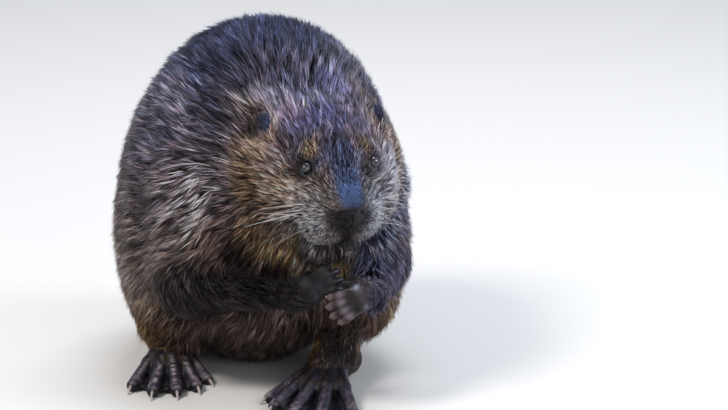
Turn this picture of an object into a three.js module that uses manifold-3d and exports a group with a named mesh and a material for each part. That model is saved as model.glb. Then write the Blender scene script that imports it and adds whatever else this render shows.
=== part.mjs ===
// A still, life-size model of an adult American beaver, sitting up on its haunches and
// holding its forepaws together under the chin, head turned a little to its left.
// Millimetres, +Z up. The beaver faces -Y and its left side is +X. It rests on the floor
// at z = 0 on its rump, its tail and the toes of both hind feet.
//
// The flesh is one smooth blend of named ellipsoids, tapered limbs, toe webs and a tail
// paddle, out to the tips of the coat. It is parted into head, neck, trunk, legs, feet
// and tail by thin cuts. Ears, eyes, nose pad, forepaws and claws are pieces of their own.
import * as THREE from 'three';
import { mergeVertices } from 'three/addons/utils/BufferGeometryUtils.js';
import Module from 'manifold-3d';

const wasm = await Module();
wasm.setup();

// ---------------------------------------------------------------- driving dimensions
const GAP = 0.3;                         // clearance between neighbouring solids
const HEAD_AT = [45, -117, 278];         // midway between the ears, below the crown
const HEAD_YAW = 6, HEAD_PITCH = 22;     // degrees: turned to its left, nose down
const EAR = [-5, 69, 29];                // forward, outward, up from HEAD_AT
const EYE = [64, 38, 22];
const EYE_RADIUS = 6.2;
const NOSE = [106, 0, -2];
const HEEL_RIGHT = [-105, 36, 0], TOE_IN_RIGHT = -7;    // degrees turned inwards
const HEEL_LEFT = [78, -90, 0], TOE_IN_LEFT = 31;
const ANKLE = 54, ANKLE_HEIGHT = 34;     // along the foot from the heel, above the floor
// hind toes from the inner to the outer: spread in degrees, length from the ankle, radius
const TOES = [[-34, 84, 6.4], [-17, 104, 7.2], [-1, 116, 7.7], [15, 118, 7.7], [33, 104, 7.4]];
const WEB_HALF = 2.4;
const TAIL_FROM = [0, 170], TAIL_TO = [26, 474];
const HIND_CLAW = { length: 17, radius: 3.0 };
const FORE_CLAW = { length: 14, radius: 2.3 };
// fingers: offset across the palm, length, reach, radius
const FINGERS = [[-14, 18, 4.2], [-5, 22, 4.6], [4.4, 23, 4.7], [13.4, 20, 4.4]];

const COLOUR = {
  coat: 0x3b2a20, coatDark: 0x2a211d, face: 0x4a3424, ear: 0x1d1a1c,
  leather: 0x2b2a30, paw: 0x3a3238, tail: 0x26272b, eye: 0x0a0808, nose: 0x15151a, claw: 0x8a7464,
};

// ---------------------------------------------------------------- small vector tools
const add = (a, b) => [a[0] + b[0], a[1] + b[1], a[2] + b[2]];
const sub = (a, b) => [a[0] - b[0], a[1] - b[1], a[2] - b[2]];
const mul = (a, s) => [a[0] * s, a[1] * s, a[2] * s];
const dot = (a, b) => a[0] * b[0] + a[1] * b[1] + a[2] * b[2];
const cross = (a, b) => [a[1] * b[2] - a[2] * b[1], a[2] * b[0] - a[0] * b[2], a[0] * b[1] - a[1] * b[0]];
const len = (a) => Math.hypot(a[0], a[1], a[2]);
const unit = (a) => mul(a, 1 / len(a));
const sum = (...v) => v.reduce(add, [0, 0, 0]);
const rad = (d) => d * Math.PI / 180;
const clamp = (x, a, b) => Math.min(b, Math.max(a, x));

// ---------------------------------------------------------------- frames
const hy = rad(HEAD_YAW), hp = rad(HEAD_PITCH);
const HF = [Math.sin(hy) * Math.cos(hp), -Math.cos(hy) * Math.cos(hp), -Math.sin(hp)];
const HL = [Math.cos(hy), Math.sin(hy), 0];
const HU = unit(cross(HF, HL));
const HEAD_AXES = [HF, HL, HU];
const inHead = (a, b, c) => sum(HEAD_AT, mul(HF, a), mul(HL, b), mul(HU, c));

// spread and reach scale the angles between the toes and their lengths
function footFrame(heel, turnIn, side, spread = 1, reach = 1) {
  const a = rad(turnIn) * side;
  return { spread, reach, heel, f: [-Math.sin(a), -Math.cos(a), 0], w: [Math.cos(a) * side, -Math.sin(a) * side, 0], side };
}
const FOOT_RIGHT = footFrame(HEEL_RIGHT, TOE_IN_RIGHT, -1, 0.84, 0.96);
const FOOT_LEFT = footFrame(HEEL_LEFT, TOE_IN_LEFT, 1);
const inFoot = (F, f, w, z) => sum(F.heel, mul(F.f, f), mul(F.w, w), [0, 0, z]);

// forepaws: wrist, palm centre, direction of the fingers, direction the palm faces
// curl: how far the finger joints and the claw turn towards the palm, in radians
const PAW_RIGHT = { wrist: [-6, -190, 129], palm: [14, -200, 136], d: unit([0.86, -0.02, 0.50]), n: unit([0.30, 0.80, -0.40]), side: -1, curl: [0.20, 0.75, 1.20] };
const PAW_LEFT = { wrist: [83, -207, 130], palm: [69, -227, 136], d: unit([-0.88, -0.14, -0.42]), n: unit([-0.2, 0.9, -0.3]), side: 1, curl: [0.15, 0.65, 1.10] };

// ---------------------------------------------------------------- the shape as a distance field
const ellipsoid = (c, r, k = 30, axes = null) => ({ kind: 'ell', c, r, k, axes });
const limb = (a, b, ra, rb, k = 20) => ({ kind: 'limb', a, b, ra, rb, k });
const web = (a, b, c, th, k) => ({ kind: 'web', a, b, c, th, k });
const hollow = (c, r, k = 6, axes = null) => ({ kind: 'hollow', c, r, k, axes });

function dEll(p, c, r, axes) {
  let q = sub(p, c);
  if (axes) q = [dot(q, axes[0]), dot(q, axes[1]), dot(q, axes[2])];
  const k0 = Math.hypot(q[0] / r[0], q[1] / r[1], q[2] / r[2]);
  const k1 = Math.hypot(q[0] / (r[0] * r[0]), q[1] / (r[1] * r[1]), q[2] / (r[2] * r[2])) + 1e-9;
  return k0 < 1e-6 ? -Math.min(...r) : k0 * (k0 - 1) / k1;
}
function dLimb(p, a, b, ra, rb) {
  const pa = sub(p, a), ba = sub(b, a);
  const h = clamp(dot(pa, ba) / dot(ba, ba), 0, 1);
  return len(sub(pa, mul(ba, h))) - (ra + (rb - ra) * h);
}
function dWeb(p, a, b, c, th) {
  const ba = sub(b, a), cb = sub(c, b), ac = sub(a, c);
  const pa = sub(p, a), pb = sub(p, b), pc = sub(p, c);
  const n = cross(ba, ac);
  const s = Math.sign(dot(cross(ba, n), pa)) + Math.sign(dot(cross(cb, n), pb)) + Math.sign(dot(cross(ac, n), pc));
  const e = (q, v) => { const h = clamp(dot(q, v) / dot(v, v), 0, 1); const w = sub(mul(v, h), q); return dot(w, w); };
  const d = s < 2 ? Math.min(e(pa, ba), e(pb, cb), e(pc, ac)) : dot(pa, n) ** 2 / dot(n, n);
  return Math.sqrt(d) - th;
}
// the tail: half width and half thickness at t, from 0 at the root to 1 at the tip
function tailSize(t) {
  let w = 36 + 32 * Math.sin(clamp((t - 0.12) / 0.88, 0, 1) ** 0.85 * Math.PI * 0.62) ** 1.1;
  w *= Math.max(Math.sqrt(clamp(1 - clamp((t - 0.80) / 0.20, 0, 1) ** 2, 0, 1)), 1e-3);
  let h = 8.5 + 22 * (1 - clamp(t / 0.55, 0, 1)) ** 1.5;
  h *= Math.max(Math.sqrt(clamp(1 - clamp((t - 0.9) / 0.1, 0, 1) ** 2, 0, 1)), 0.15);
  return [w, h];
}
function dTail(p) {
  const ax = [TAIL_TO[0] - TAIL_FROM[0], TAIL_TO[1] - TAIL_FROM[1]];
  const L = Math.hypot(...ax); ax[0] /= L; ax[1] /= L;
  const q = [p[0] - TAIL_FROM[0], p[1] - TAIL_FROM[1]];
  const t = (q[0] * ax[0] + q[1] * ax[1]) / L;
  const x = -q[0] * ax[1] + q[1] * ax[0];
  const [w, h] = tailSize(clamp(t, 0, 0.999));
  const z = p[2] - h * 0.98;
  const k0 = Math.hypot(x / w, z / h), k1 = Math.hypot(x / (w * w), z / (h * h)) + 1e-9;
  return Math.max(k0 * (k0 - 1) / k1, Math.max(t - 0.999, -t) * L);
}
function blend(a, b, k) {
  const h = clamp(0.5 + 0.5 * (a - b) / k, 0, 1);
  return a + (b - a) * h - k * h * (1 - h);
}
const field = (shapes) => (p) => {
  let d = null;
  for (const s of shapes) {
    if (s.kind === 'hollow') { d = -blend(-d, dEll(p, s.c, s.r, s.axes), s.k); continue; }
    const v = s.kind === 'ell' ? dEll(p, s.c, s.r, s.axes)
      : s.kind === 'limb' ? dLimb(p, s.a, s.b, s.ra, s.rb)
        : s.kind === 'web' ? dWeb(p, s.a, s.b, s.c, s.th) : dTail(p);
    d = d === null ? v : blend(d, v, s.k);
  }
  return d;
};

// ---------------------------------------------------------------- named shapes
const TRUNK = [
  ellipsoid([-6, 14, 176], [160, 168, 176]),               // barrel
  ellipsoid([8, 18, 261], [128, 130, 134], 60),            // arched back
  ellipsoid([0, 98, 118], [126, 104, 118], 50),            // rump
  ellipsoid([0, 152, 50], [70, 66, 50], 40),               // root of the tail
  limb([0, 128, 66], [5, 232, 22], 56, 24, 34),            // furred base of the tail
  ellipsoid([32, -46, 240], [106, 88, 84], 40),            // neck
  ellipsoid([10, -76, 162], [94, 62, 94], 40),             // chest
  ellipsoid([-104, -4, 112], [56, 92, 88], 40),            // right haunch
  ellipsoid([100, -32, 112], [56, 92, 88], 40),            // left haunch
];
const ARMS = [
  limb([-86, -72, 220], [-106, -104, 132], 50, 35, 34),    // right upper arm
  limb([-104, -108, 122], PAW_RIGHT.wrist, 29, 16, 20),    // right forearm
  limb([108, -74, 216], [112, -112, 142], 46, 34, 34),
  limb([112, -116, 136], PAW_LEFT.wrist, 28, 16, 20),
];
const HEAD = [
  ellipsoid(inHead(-26, 0, -20), [62, 88, 60], 34, HEAD_AXES),        // nape
  ellipsoid(inHead(10, 0, -4), [58, 70, 50], 22, HEAD_AXES),          // crown
];
for (const s of [-1, 1]) HEAD.push(ellipsoid(inHead(30, s * 38, -28), [52, 44, 48], 24, HEAD_AXES)); // cheeks
HEAD.push(
  limb(inHead(38, 0, 8), inHead(92, 0, -5), 36, 25, 20),              // bridge
  ellipsoid(inHead(78, 0, -26), [38, 47, 41], 20, HEAD_AXES),         // muzzle
  ellipsoid(inHead(104, 0, -2), [14, 19, 14], 8, HEAD_AXES),          // nose
);
for (const s of [-1, 1]) {
  HEAD.push(ellipsoid(inHead(88, s * 22, -34), [25, 26, 29], 10, HEAD_AXES));   // lips
  HEAD.push(ellipsoid(inHead(50, s * 31, 18), [26, 17, 15], 18, HEAD_AXES));    // brow
  HEAD.push(hollow(inHead(EYE[0] + 1, s * (EYE[1] + 5), EYE[2] + 1), [10, 10, 7], 5, HEAD_AXES));
}
HEAD.push(ellipsoid(inHead(66, 0, -76), [34, 37, 29], 14, HEAD_AXES));          // chin
for (const s of [-1, 1]) HEAD.push(ellipsoid(inHead(30, s * 46, -54), [38, 34, 36], 20, HEAD_AXES)); // jowls
HEAD.push(ellipsoid(inHead(36, 0, -58), [42, 56, 34], 26, HEAD_AXES));          // throat
HEAD.push(hollow([40, -90, 362], [64, 24, 26], 16));                            // crease behind the crown

function toe(F, i) {
  const [deg, whole, r] = TOES[i], a = rad(deg * F.spread), length = whole * F.reach;
  return {
    r,
    base: inFoot(F, ANKLE + 6 * Math.cos(a), 18 * Math.sin(a), 26),
    knuckle: inFoot(F, ANKLE + length * 0.52 * Math.cos(a), length * 0.56 * Math.sin(a), 19),
    tip: inFoot(F, ANKLE + length * Math.cos(a), length * Math.sin(a), r - 0.6),
  };
}
function hindFoot(F) {
  const out = [
    limb(inFoot(F, 2, 0, 20), inFoot(F, ANKLE, 0, ANKLE_HEIGHT - 6), 19, 21, 16),
    limb(inFoot(F, 10, 0, 62), inFoot(F, ANKLE, 0, ANKLE_HEIGHT), 24, 18, 18),
  ];
  for (let i = 0; i < 5; i++) {
    const t = toe(F, i);
    out.push(limb(t.base, t.knuckle, 11, t.r + 0.8, 8), limb(t.knuckle, t.tip, t.r + 0.8, t.r - 0.2, 4));
  }
  for (let i = 0; i < 4; i++) {
    const [s, t] = [toe(F, i), toe(F, i + 1)];
    const edge = (q) => { const e = add(q.knuckle, mul(sub(q.tip, q.knuckle), 0.82)); e[2] = 5; return e; };
    out.push(web(inFoot(F, ANKLE + 8, 0, 14), edge(s), edge(t), WEB_HALF, 5));
  }
  return out;
}
const TAIL = [{ kind: 'tail', k: 20 }];
const FLESH = [...TRUNK, ...ARMS, ...HEAD];
const LEGS_RIGHT = hindFoot(FOOT_RIGHT), LEGS_LEFT = hindFoot(FOOT_LEFT);

function earFrame(s) {
  const up = unit(sum(mul(HF, -0.42), mul(HL, -s * 0.12), mul(HU, 0.88)));
  let face = sum(mul(HF, -0.05), mul(HL, s * 0.98), mul(HU, 0.06));
  face = unit(face);
  face = unit(sub(face, mul(up, dot(face, up))));
  return { at: inHead(EAR[0] - 2, s * (EAR[1] - 2), EAR[2] - 2), axes: [face, cross(up, face), up] };
}
function earShape(s) {
  const { at, axes } = earFrame(s);
  return [
    ellipsoid(at, [5, 12, 16.5], 5, axes),
    hollow(sum(at, mul(axes[0], 5.6), mul(axes[2], 2)), [4.8, 8.4, 12], 3, axes),
  ];
}
function pawAxes(h) {
  const d = h.d, n = unit(sub(h.n, mul(d, dot(h.n, d))));
  return { d, n, c: cross(d, n) };
}
function finger(h, i) {
  const { d, n, c } = pawAxes(h);
  const [off, length, r] = FINGERS[i];
  const dir = (a) => unit(sum(mul(d, Math.cos(a)), mul(n, Math.sin(a)), mul(c, off * 0.012)));
  const base = sum(h.palm, mul(d, 10), mul(c, off * 0.8));
  const knuckle = add(base, mul(dir(h.curl[0]), length * 0.75));
  const tip = add(knuckle, mul(dir(h.curl[1]), length * 0.62));
  return { base, knuckle, tip, r, point: dir(h.curl[2]), up: mul(dir(h.curl[2] + Math.PI / 2), -1) };
}
function thumb(h) {
  const { d, n, c } = pawAxes(h);
  const base = sum(h.palm, mul(d, -2), mul(c, -h.side * 14), mul(n, 4));
  const dir = unit(sum(mul(d, 0.75), mul(c, -h.side * 0.35), mul(n, 0.6)));
  return { base, tip: add(base, mul(dir, 15)), dir, up: unit(sub(mul(n, -1), mul(dir, -dot(n, dir)))) };
}
function forePaw(h) {
  const { d, n, c } = pawAxes(h);
  const out = [
    limb(h.wrist, h.palm, 14, 12, 12),
    ellipsoid(add(h.palm, mul(d, 1)), [14.5, 17.5, 10.5], 8, [d, c, n]),
  ];
  for (let i = 0; i < 4; i++) {
    const f = finger(h, i);
    out.push(limb(f.base, f.knuckle, f.r + 0.7, f.r, 3), limb(f.knuckle, f.tip, f.r, f.r - 0.6, 2.5));
  }
  const t = thumb(h);
  out.push(limb(t.base, t.tip, 6, 4.4, 5));
  return out;
}

// ---------------------------------------------------------------- from the field to a closed surface
// One vertex in each grid cell that the surface crosses, joined across each crossed edge.
function surface(f, lo, hi, h) {
  const n = [0, 1, 2].map((i) => Math.ceil((hi[i] - lo[i]) / h) + 3);
  const at = (i, j, k) => [lo[0] + (i - 1) * h, lo[1] + (j - 1) * h, lo[2] + (k - 1) * h];
  const id = (i, j, k) => (i * n[1] + j) * n[2] + k;
  const val = new Float64Array(n[0] * n[1] * n[2]);
  // coarse pass: skip blocks that are far from the surface
  const B = 4;
  for (let I = 0; I < n[0]; I += B) for (let J = 0; J < n[1]; J += B) for (let K = 0; K < n[2]; K += B) {
    const dc = f(at(I + B / 2 - 0.5, J + B / 2 - 0.5, K + B / 2 - 0.5));
    const far = Math.abs(dc) > h * B * 1.6;
    for (let i = I; i < Math.min(I + B, n[0]); i++) for (let j = J; j < Math.min(J + B, n[1]); j++) for (let k = K; k < Math.min(K + B, n[2]); k++) {
      const edge = i === 0 || j === 0 || k === 0 || i === n[0] - 1 || j === n[1] - 1 || k === n[2] - 1;
      const v = edge ? 1 : (far ? dc : f(at(i, j, k)));
      val[id(i, j, k)] = v === 0 ? 1e-9 : v;
    }
  }
  const cell = new Map(), pts = [];
  const corner = [[0, 0, 0], [1, 0, 0], [0, 1, 0], [1, 1, 0], [0, 0, 1], [1, 0, 1], [0, 1, 1], [1, 1, 1]];
  const edges = [[0, 1], [2, 3], [4, 5], [6, 7], [0, 2], [1, 3], [4, 6], [5, 7], [0, 4], [1, 5], [2, 6], [3, 7]];
  for (let i = 0; i < n[0] - 1; i++) for (let j = 0; j < n[1] - 1; j++) for (let k = 0; k < n[2] - 1; k++) {
    let mask = 0;
    const v = corner.map((c, q) => { const x = val[id(i + c[0], j + c[1], k + c[2])]; if (x < 0) mask |= 1 << q; return x; });
    if (mask === 0 || mask === 255) continue;
    const s = [0, 0, 0]; let m = 0;
    for (const [a, b] of edges) {
      if ((v[a] < 0) === (v[b] < 0)) continue;
      const t = v[a] / (v[a] - v[b]);
      for (let q = 0; q < 3; q++) s[q] += corner[a][q] + t * (corner[b][q] - corner[a][q]);
      m++;
    }
    cell.set(id(i, j, k), pts.length);
    const o = at(i, j, k);
    pts.push([o[0] + h * s[0] / m, o[1] + h * s[1] / m, o[2] + h * s[2] / m]);
  }
  const tris = [];
  const quad = (a, b, c, d) => {
    if (len(sub(pts[a], pts[c])) < len(sub(pts[b], pts[d]))) tris.push([a, b, c], [a, c, d]);
    else tris.push([a, b, d], [b, c, d]);
  };
  for (let i = 0; i < n[0] - 1; i++) for (let j = 0; j < n[1] - 1; j++) for (let k = 0; k < n[2] - 1; k++) {
    const a = val[id(i, j, k)] < 0;
    const go = (b, c0, c1, c2, c3) => {
      if (a === b) return;
      const q = [c0, c1, c2, c3].map((c) => cell.get(c));
      if (a) quad(q[0], q[1], q[2], q[3]); else quad(q[3], q[2], q[1], q[0]);
    };
    if (j && k) go(val[id(i + 1, j, k)] < 0, id(i, j - 1, k - 1), id(i, j, k - 1), id(i, j, k), id(i, j - 1, k));
    if (i && k) go(val[id(i, j + 1, k)] < 0, id(i - 1, j, k - 1), id(i - 1, j, k), id(i, j, k), id(i, j, k - 1));
    if (i && j) go(val[id(i, j, k + 1)] < 0, id(i - 1, j - 1, k), id(i, j - 1, k), id(i, j, k), id(i - 1, j, k));
  }
  // settle each vertex on the surface
  for (const p of pts) {
    if ([0, 1, 2].some((q) => p[q] < lo[q] + h || p[q] > hi[q] - h)) continue;
    for (let r = 0; r < 2; r++) {
      const e = 0.4, d = f(p);
      const g = [0, 1, 2].map((q) => { const a = [...p], b = [...p]; a[q] += e; b[q] -= e; return (f(a) - f(b)) / (2 * e); });
      const L = Math.max(len(g), 0.5), m = clamp(d, -h / 2, h / 2) / L;
      for (let q = 0; q < 3; q++) p[q] -= g[q] / L * m;
    }
  }
  return { pts, tris };
}

// Edge collapse by quadric error, down to a number of triangles
function reduce({ pts, tris }, target, minEdge = 0) {
  const P = pts.map((p) => [...p]), T = tris.map((t) => [...t]);
  const alive = T.map(() => true), around = P.map(() => new Set());
  T.forEach((t, i) => t.forEach((v) => around[v].add(i)));
  const Q = P.map(() => new Float64Array(10));
  const normal = (a, b, c) => cross(sub(b, a), sub(c, a));
  for (const t of T) {
    const nn = normal(P[t[0]], P[t[1]], P[t[2]]), A = len(nn);
    if (A < 1e-12) continue;
    const [x, y, z] = mul(nn, 1 / A), w = -dot([x, y, z], P[t[0]]), s = A / 2;
    const q = [x * x, x * y, x * z, x * w, y * y, y * z, y * w, z * z, z * w, w * w];
    for (const v of t) for (let i = 0; i < 10; i++) Q[v][i] += q[i] * s;
  }
  const cost = (q, p) => {
    const [x, y, z] = p;
    return q[0] * x * x + 2 * q[1] * x * y + 2 * q[2] * x * z + 2 * q[3] * x + q[4] * y * y + 2 * q[5] * y * z + 2 * q[6] * y + q[7] * z * z + 2 * q[8] * z + q[9];
  };
  const best = (a, b) => {
    const q = Q[a].map((v, i) => v + Q[b][i]);
    const mid = mul(add(P[a], P[b]), 0.5), opts = [mid, P[a], P[b]];
    const [A, B, C, D, E, F, G, H, I] = [q[0], q[1], q[2], q[1], q[4], q[5], q[2], q[5], q[7]];
    const det = A * (E * I - F * H) - B * (D * I - F * G) + C * (D * H - E * G);
    if (Math.abs(det) > 1e-6) {
      const r = [-q[3], -q[6], -q[8]];
      const s = [
        (r[0] * (E * I - F * H) - B * (r[1] * I - F * r[2]) + C * (r[1] * H - E * r[2])) / det,
        (A * (r[1] * I - F * r[2]) - r[0] * (D * I - F * G) + C * (D * r[2] - r[1] * G)) / det,
        (A * (E * r[2] - r[1] * H) - B * (D * r[2] - r[1] * G) + r[0] * (D * H - E * G)) / det];
      if (len(sub(s, mid)) < len(sub(P[a], P[b])) * 1.5) opts.unshift(s);
    }
    let o = null;
    for (const p of opts) { const c = cost(q, p); if (!o || c < o.c - 1e-12) o = { c, p }; }
    return o;
  };
  const heap = []; const stamp = new Int32Array(P.length);
  const push = (e) => { heap.push(e); let i = heap.length - 1; while (i) { const u = (i - 1) >> 1; if (heap[u].c <= heap[i].c) break; [heap[u], heap[i]] = [heap[i], heap[u]]; i = u; } };
  const pop = () => {
    const top = heap[0], last = heap.pop();
    if (heap.length) { heap[0] = last; let i = 0; for (;;) { let s = i; const l = 2 * i + 1; if (l < heap.length && heap[l].c < heap[s].c) s = l; if (l + 1 < heap.length && heap[l + 1].c < heap[s].c) s = l + 1; if (s === i) break; [heap[s], heap[i]] = [heap[i], heap[s]]; i = s; } }
    return top;
  };
  const near = (v) => { const s = new Set(); for (const t of around[v]) for (const u of T[t]) if (u !== v) s.add(u); return s; };
  const offer = (a, b) => {
    const o = best(a, b), L = len(sub(P[a], P[b]));
    push({ c: (minEdge && L < minEdge ? -1 : 0) + Math.max(o.c, 0) + 1e-4 * L * L, p: o.p, a, b, s: stamp[a] + stamp[b] });
  };
  for (let v = 0; v < P.length; v++) for (const u of near(v)) if (u > v) offer(v, u);
  let count = T.length;
  while (heap.length) {
    const e = pop();
    if (minEdge ? e.c >= 0 : count <= target) break;
    const { a, b, p } = e;
    if (stamp[a] < 0 || stamp[b] < 0 || stamp[a] + stamp[b] !== e.s || !around[a].size || !around[b].size) continue;
    const na = near(a), nb = near(b);
    if (!na.has(b)) continue;
    let common = 0; for (const v of na) if (nb.has(v)) common++;
    const shared = [...around[a]].filter((t) => around[b].has(t));
    if (common !== 2 || shared.length !== 2) continue;
    let ok = true;
    for (const v of [a, b]) for (const t of around[v]) {
      if (shared.includes(t)) continue;
      const [x, y, z] = T[t].map((u) => P[u]), n0 = normal(x, y, z);
      const [X, Y, Z] = T[t].map((u) => (u === v ? p : P[u])), n1 = normal(X, Y, Z);
      const l0 = len(n0), l1 = len(n1);
      const long = Math.max(len(sub(X, Y)), len(sub(Y, Z)), len(sub(Z, X)));
      if (minEdge ? (l0 > 0.02 && dot(n0, n1) < 0) : (dot(n0, n1) < 0.3 * l0 * l1 || l1 < 0.06 * long * long)) { ok = false; break; }
    }
    if (!ok) continue;
    for (const t of shared) { alive[t] = false; for (const v of T[t]) around[v].delete(t); count--; }
    for (const t of around[b]) { T[t] = T[t].map((v) => (v === b ? a : v)); around[a].add(t); }
    around[b] = new Set(); stamp[b] = -1e6;
    P[a] = p; for (let i = 0; i < 10; i++) Q[a][i] += Q[b][i];
    stamp[a] += 1000003 % 99991 + 1;
    for (const v of near(a)) offer(a, v);
  }
  const used = new Map(), op = [];
  const ot = T.filter((_, i) => alive[i]).map((t) => t.map((v) => { if (!used.has(v)) { used.set(v, op.length); op.push(P[v]); } return used.get(v); }));
  return { pts: op, tris: ot };
}

// ---------------------------------------------------------------- solids
function solid({ pts, tris }) {
  return new wasm.Manifold(new wasm.Mesh({ numProp: 3, vertProperties: new Float32Array(pts.flat()), triVerts: new Uint32Array(tris.flat()) }));
}
function solidOf(geometry) {
  const g = geometry.index ? geometry.clone() : geometry;
  g.deleteAttribute('normal'); g.deleteAttribute('uv');
  const m = mergeVertices(g, 1e-4);
  return new wasm.Manifold(new wasm.Mesh({ numProp: 3, vertProperties: new Float32Array(m.attributes.position.array), triVerts: new Uint32Array(m.index.array) }));
}
// a box given by its lowest and highest corner in a turned frame
function block(at, axes, lo, hi, grow = 0) {
  const s = [0, 1, 2].map((i) => hi[i] - lo[i] + 2 * grow), c = [0, 1, 2].map((i) => (hi[i] + lo[i]) / 2);
  const g = new THREE.BoxGeometry(...s);
  const o = sum(at, mul(axes[0], c[0]), mul(axes[1], c[1]), mul(axes[2], c[2]));
  const m = new THREE.Matrix4().makeBasis(...axes.map((a) => new THREE.Vector3(...a))).setPosition(...o);
  return solidOf(g.applyMatrix4(m));
}
function ball(at, axes, r, grow = 0, detail = [20, 14]) {
  const g = new THREE.SphereGeometry(1, ...detail);
  const m = new THREE.Matrix4().makeBasis(...axes.map((a, i) => new THREE.Vector3(...mul(a, r[i] + grow)))).setPosition(...at);
  return solidOf(g.applyMatrix4(m));
}
const WORLD = [[1, 0, 0], [0, 1, 0], [0, 0, 1]];
const FLOOR_CUT = () => block([0, 0, 0], WORLD, [-500, -500, -100], [500, 800, 0]);

function meshOf(manifold) {
  const m = manifold.getMesh(), pts = [], tris = [];
  for (let i = 0; i < m.vertProperties.length; i += m.numProp) pts.push([m.vertProperties[i], m.vertProperties[i + 1], m.vertProperties[i + 2]]);
  for (let i = 0; i < m.triVerts.length; i += 3) tris.push([m.triVerts[i], m.triVerts[i + 1], m.triVerts[i + 2]]);
  return { pts, tris };
}
// the largest piece of what a cut leaves
function main({ pts, tris }) {
  const root = pts.map((_, i) => i);
  const find = (a) => { while (root[a] !== a) { root[a] = root[root[a]]; a = root[a]; } return a; };
  for (const t of tris) { root[find(t[0])] = find(t[1]); root[find(t[1])] = find(t[2]); }
  const vol = new Map();
  for (const t of tris) { const r = find(t[0]); vol.set(r, (vol.get(r) || 0) + dot(pts[t[0]], cross(pts[t[1]], pts[t[2]])) / 6); }
  const keep = [...vol].sort((a, b) => b[1] - a[1])[0][0];
  const used = new Map(), op = [];
  const ot = tris.filter((t) => find(t[0]) === keep).map((t) => t.map((v) => { if (!used.has(v)) { used.set(v, op.length); op.push(pts[v]); } return used.get(v); }));
  return { pts: op, tris: ot };
}
// tidy after a cut: drop crumbs and edges far shorter than the clearance
function finish(manifold) {
  let m = main(meshOf(manifold));
  for (let i = 0; i < 4; i++) m = flatten(reduce(m, 0, 0.1 + 0.05 * i), 0.03);
  m = separate(m);
  return { pts: m.pts.map(([x, y, z]) => [x, y, Math.abs(z) < 0.2 ? 0 : z]), tris: m.tris };
}
// where two corners of a solid touch at one point, draw each a little way into its own side
function separate({ pts, tris }) {
  const P = pts.map((p) => [...p]), seen = new Map(), inward = P.map(() => [0, 0, 0]);
  for (const t of tris) {
    const n = cross(sub(P[t[1]], P[t[0]]), sub(P[t[2]], P[t[0]]));
    for (const v of t) inward[v] = sub(inward[v], n);
  }
  P.forEach((p, i) => { const k = p.map((x) => Math.round(x * 50)).join(); if (!seen.has(k)) seen.set(k, []); seen.get(k).push(i); });
  for (const group of seen.values()) {
    if (group.length < 2) continue;
    group.forEach((v, i) => { P[v] = add(P[v], mul(unit(add(inward[v], [1e-9, 0, 0])), 0.04 + 0.03 * i)); });
  }
  return { pts: P, tris };
}
// turn the long edge of each triangle that is thinner than a height
function flatten({ pts, tris }, thin) {
  const T = tris.map((t) => [...t]), edge = new Map();
  const key = (a, b) => a * 1e6 + b;
  T.forEach((t, i) => t.forEach((a, j) => edge.set(key(a, t[(j + 1) % 3]), i)));
  const normal = (t) => cross(sub(pts[t[1]], pts[t[0]]), sub(pts[t[2]], pts[t[0]]));
  const height = (t) => len(normal(t)) / Math.max(...t.map((a, j) => len(sub(pts[a], pts[t[(j + 1) % 3]]))));
  for (let i = 0; i < T.length; i++) {
    const t = T[i];
    if (height(t) > thin) continue;
    const j = [0, 1, 2].sort((p, q) => len(sub(pts[t[q]], pts[t[(q + 1) % 3]])) - len(sub(pts[t[p]], pts[t[(p + 1) % 3]])))[0];
    const a = t[j], b = t[(j + 1) % 3], c = t[(j + 2) % 3];
    const o = edge.get(key(b, a));
    if (o === undefined || o === i) continue;
    const d = T[o].find((v) => v !== a && v !== b);
    if (d === c || edge.has(key(c, d)) || edge.has(key(d, c))) continue;
    const n = normal(T[o]), t1 = [a, d, c], t2 = [d, b, c];
    if (dot(normal(t1), n) <= 0 || dot(normal(t2), n) <= 0 || Math.min(height(t1), height(t2)) < height(t)) continue;
    for (const u of [t, T[o]]) u.forEach((v, q) => edge.delete(key(v, u[(q + 1) % 3])));
    T[i] = t1; T[o] = t2;
    for (const [u, w] of [[t1, i], [t2, o]]) u.forEach((v, q) => edge.set(key(v, u[(q + 1) % 3]), w));
  }
  return { pts, tris: T };
}
function claw(base, dir, up, length, radius, grow = 0) {
  // a curved, tapering claw: rings of six points along an arc that bends away from up
  const rings = 3, sides = 5, pts = [], tris = [];
  const side = unit(cross(dir, up)), u0 = unit(cross(side, dir));
  let p = add(base, mul(dir, -grow));
  for (let i = 0; i < rings; i++) {
    const t = i / rings, a = t * 0.85, d = add(mul(dir, Math.cos(a)), mul(u0, -Math.sin(a)));
    const u = add(mul(u0, Math.cos(a)), mul(dir, Math.sin(a)));
    const r = radius * (1 - 0.55 * t) + grow;
    for (let j = 0; j < sides; j++) {
      const q = (j + 0.5) / sides * 2 * Math.PI;
      pts.push(sum(p, mul(side, Math.cos(q) * r), mul(u, Math.sin(q) * r * 1.15)));
    }
    p = add(p, mul(d, (length + (i ? 0 : grow)) / rings));
  }
  pts.push(add(p, mul(dir, grow * 0.5)));
  const tip = pts.length - 1; pts.push(add(base, mul(dir, -grow))); const root = tip + 1;
  for (let i = 0; i < rings - 1; i++) for (let j = 0; j < sides; j++) {
    const a = i * sides + j, b = i * sides + (j + 1) % sides, c = a + sides, d = b + sides;
    tris.push([a, b, d], [a, d, c]);
  }
  for (let j = 0; j < sides; j++) {
    tris.push([root, (j + 1) % sides, j]);
    tris.push([(rings - 1) * sides + j, (rings - 1) * sides + (j + 1) % sides, tip]);
  }
  const vol = tris.reduce((s, t) => s + dot(pts[t[0]], cross(pts[t[1]], pts[t[2]])), 0);
  return { pts, tris: vol < 0 ? tris.map((t) => [t[0], t[2], t[1]]) : tris };
}

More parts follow.
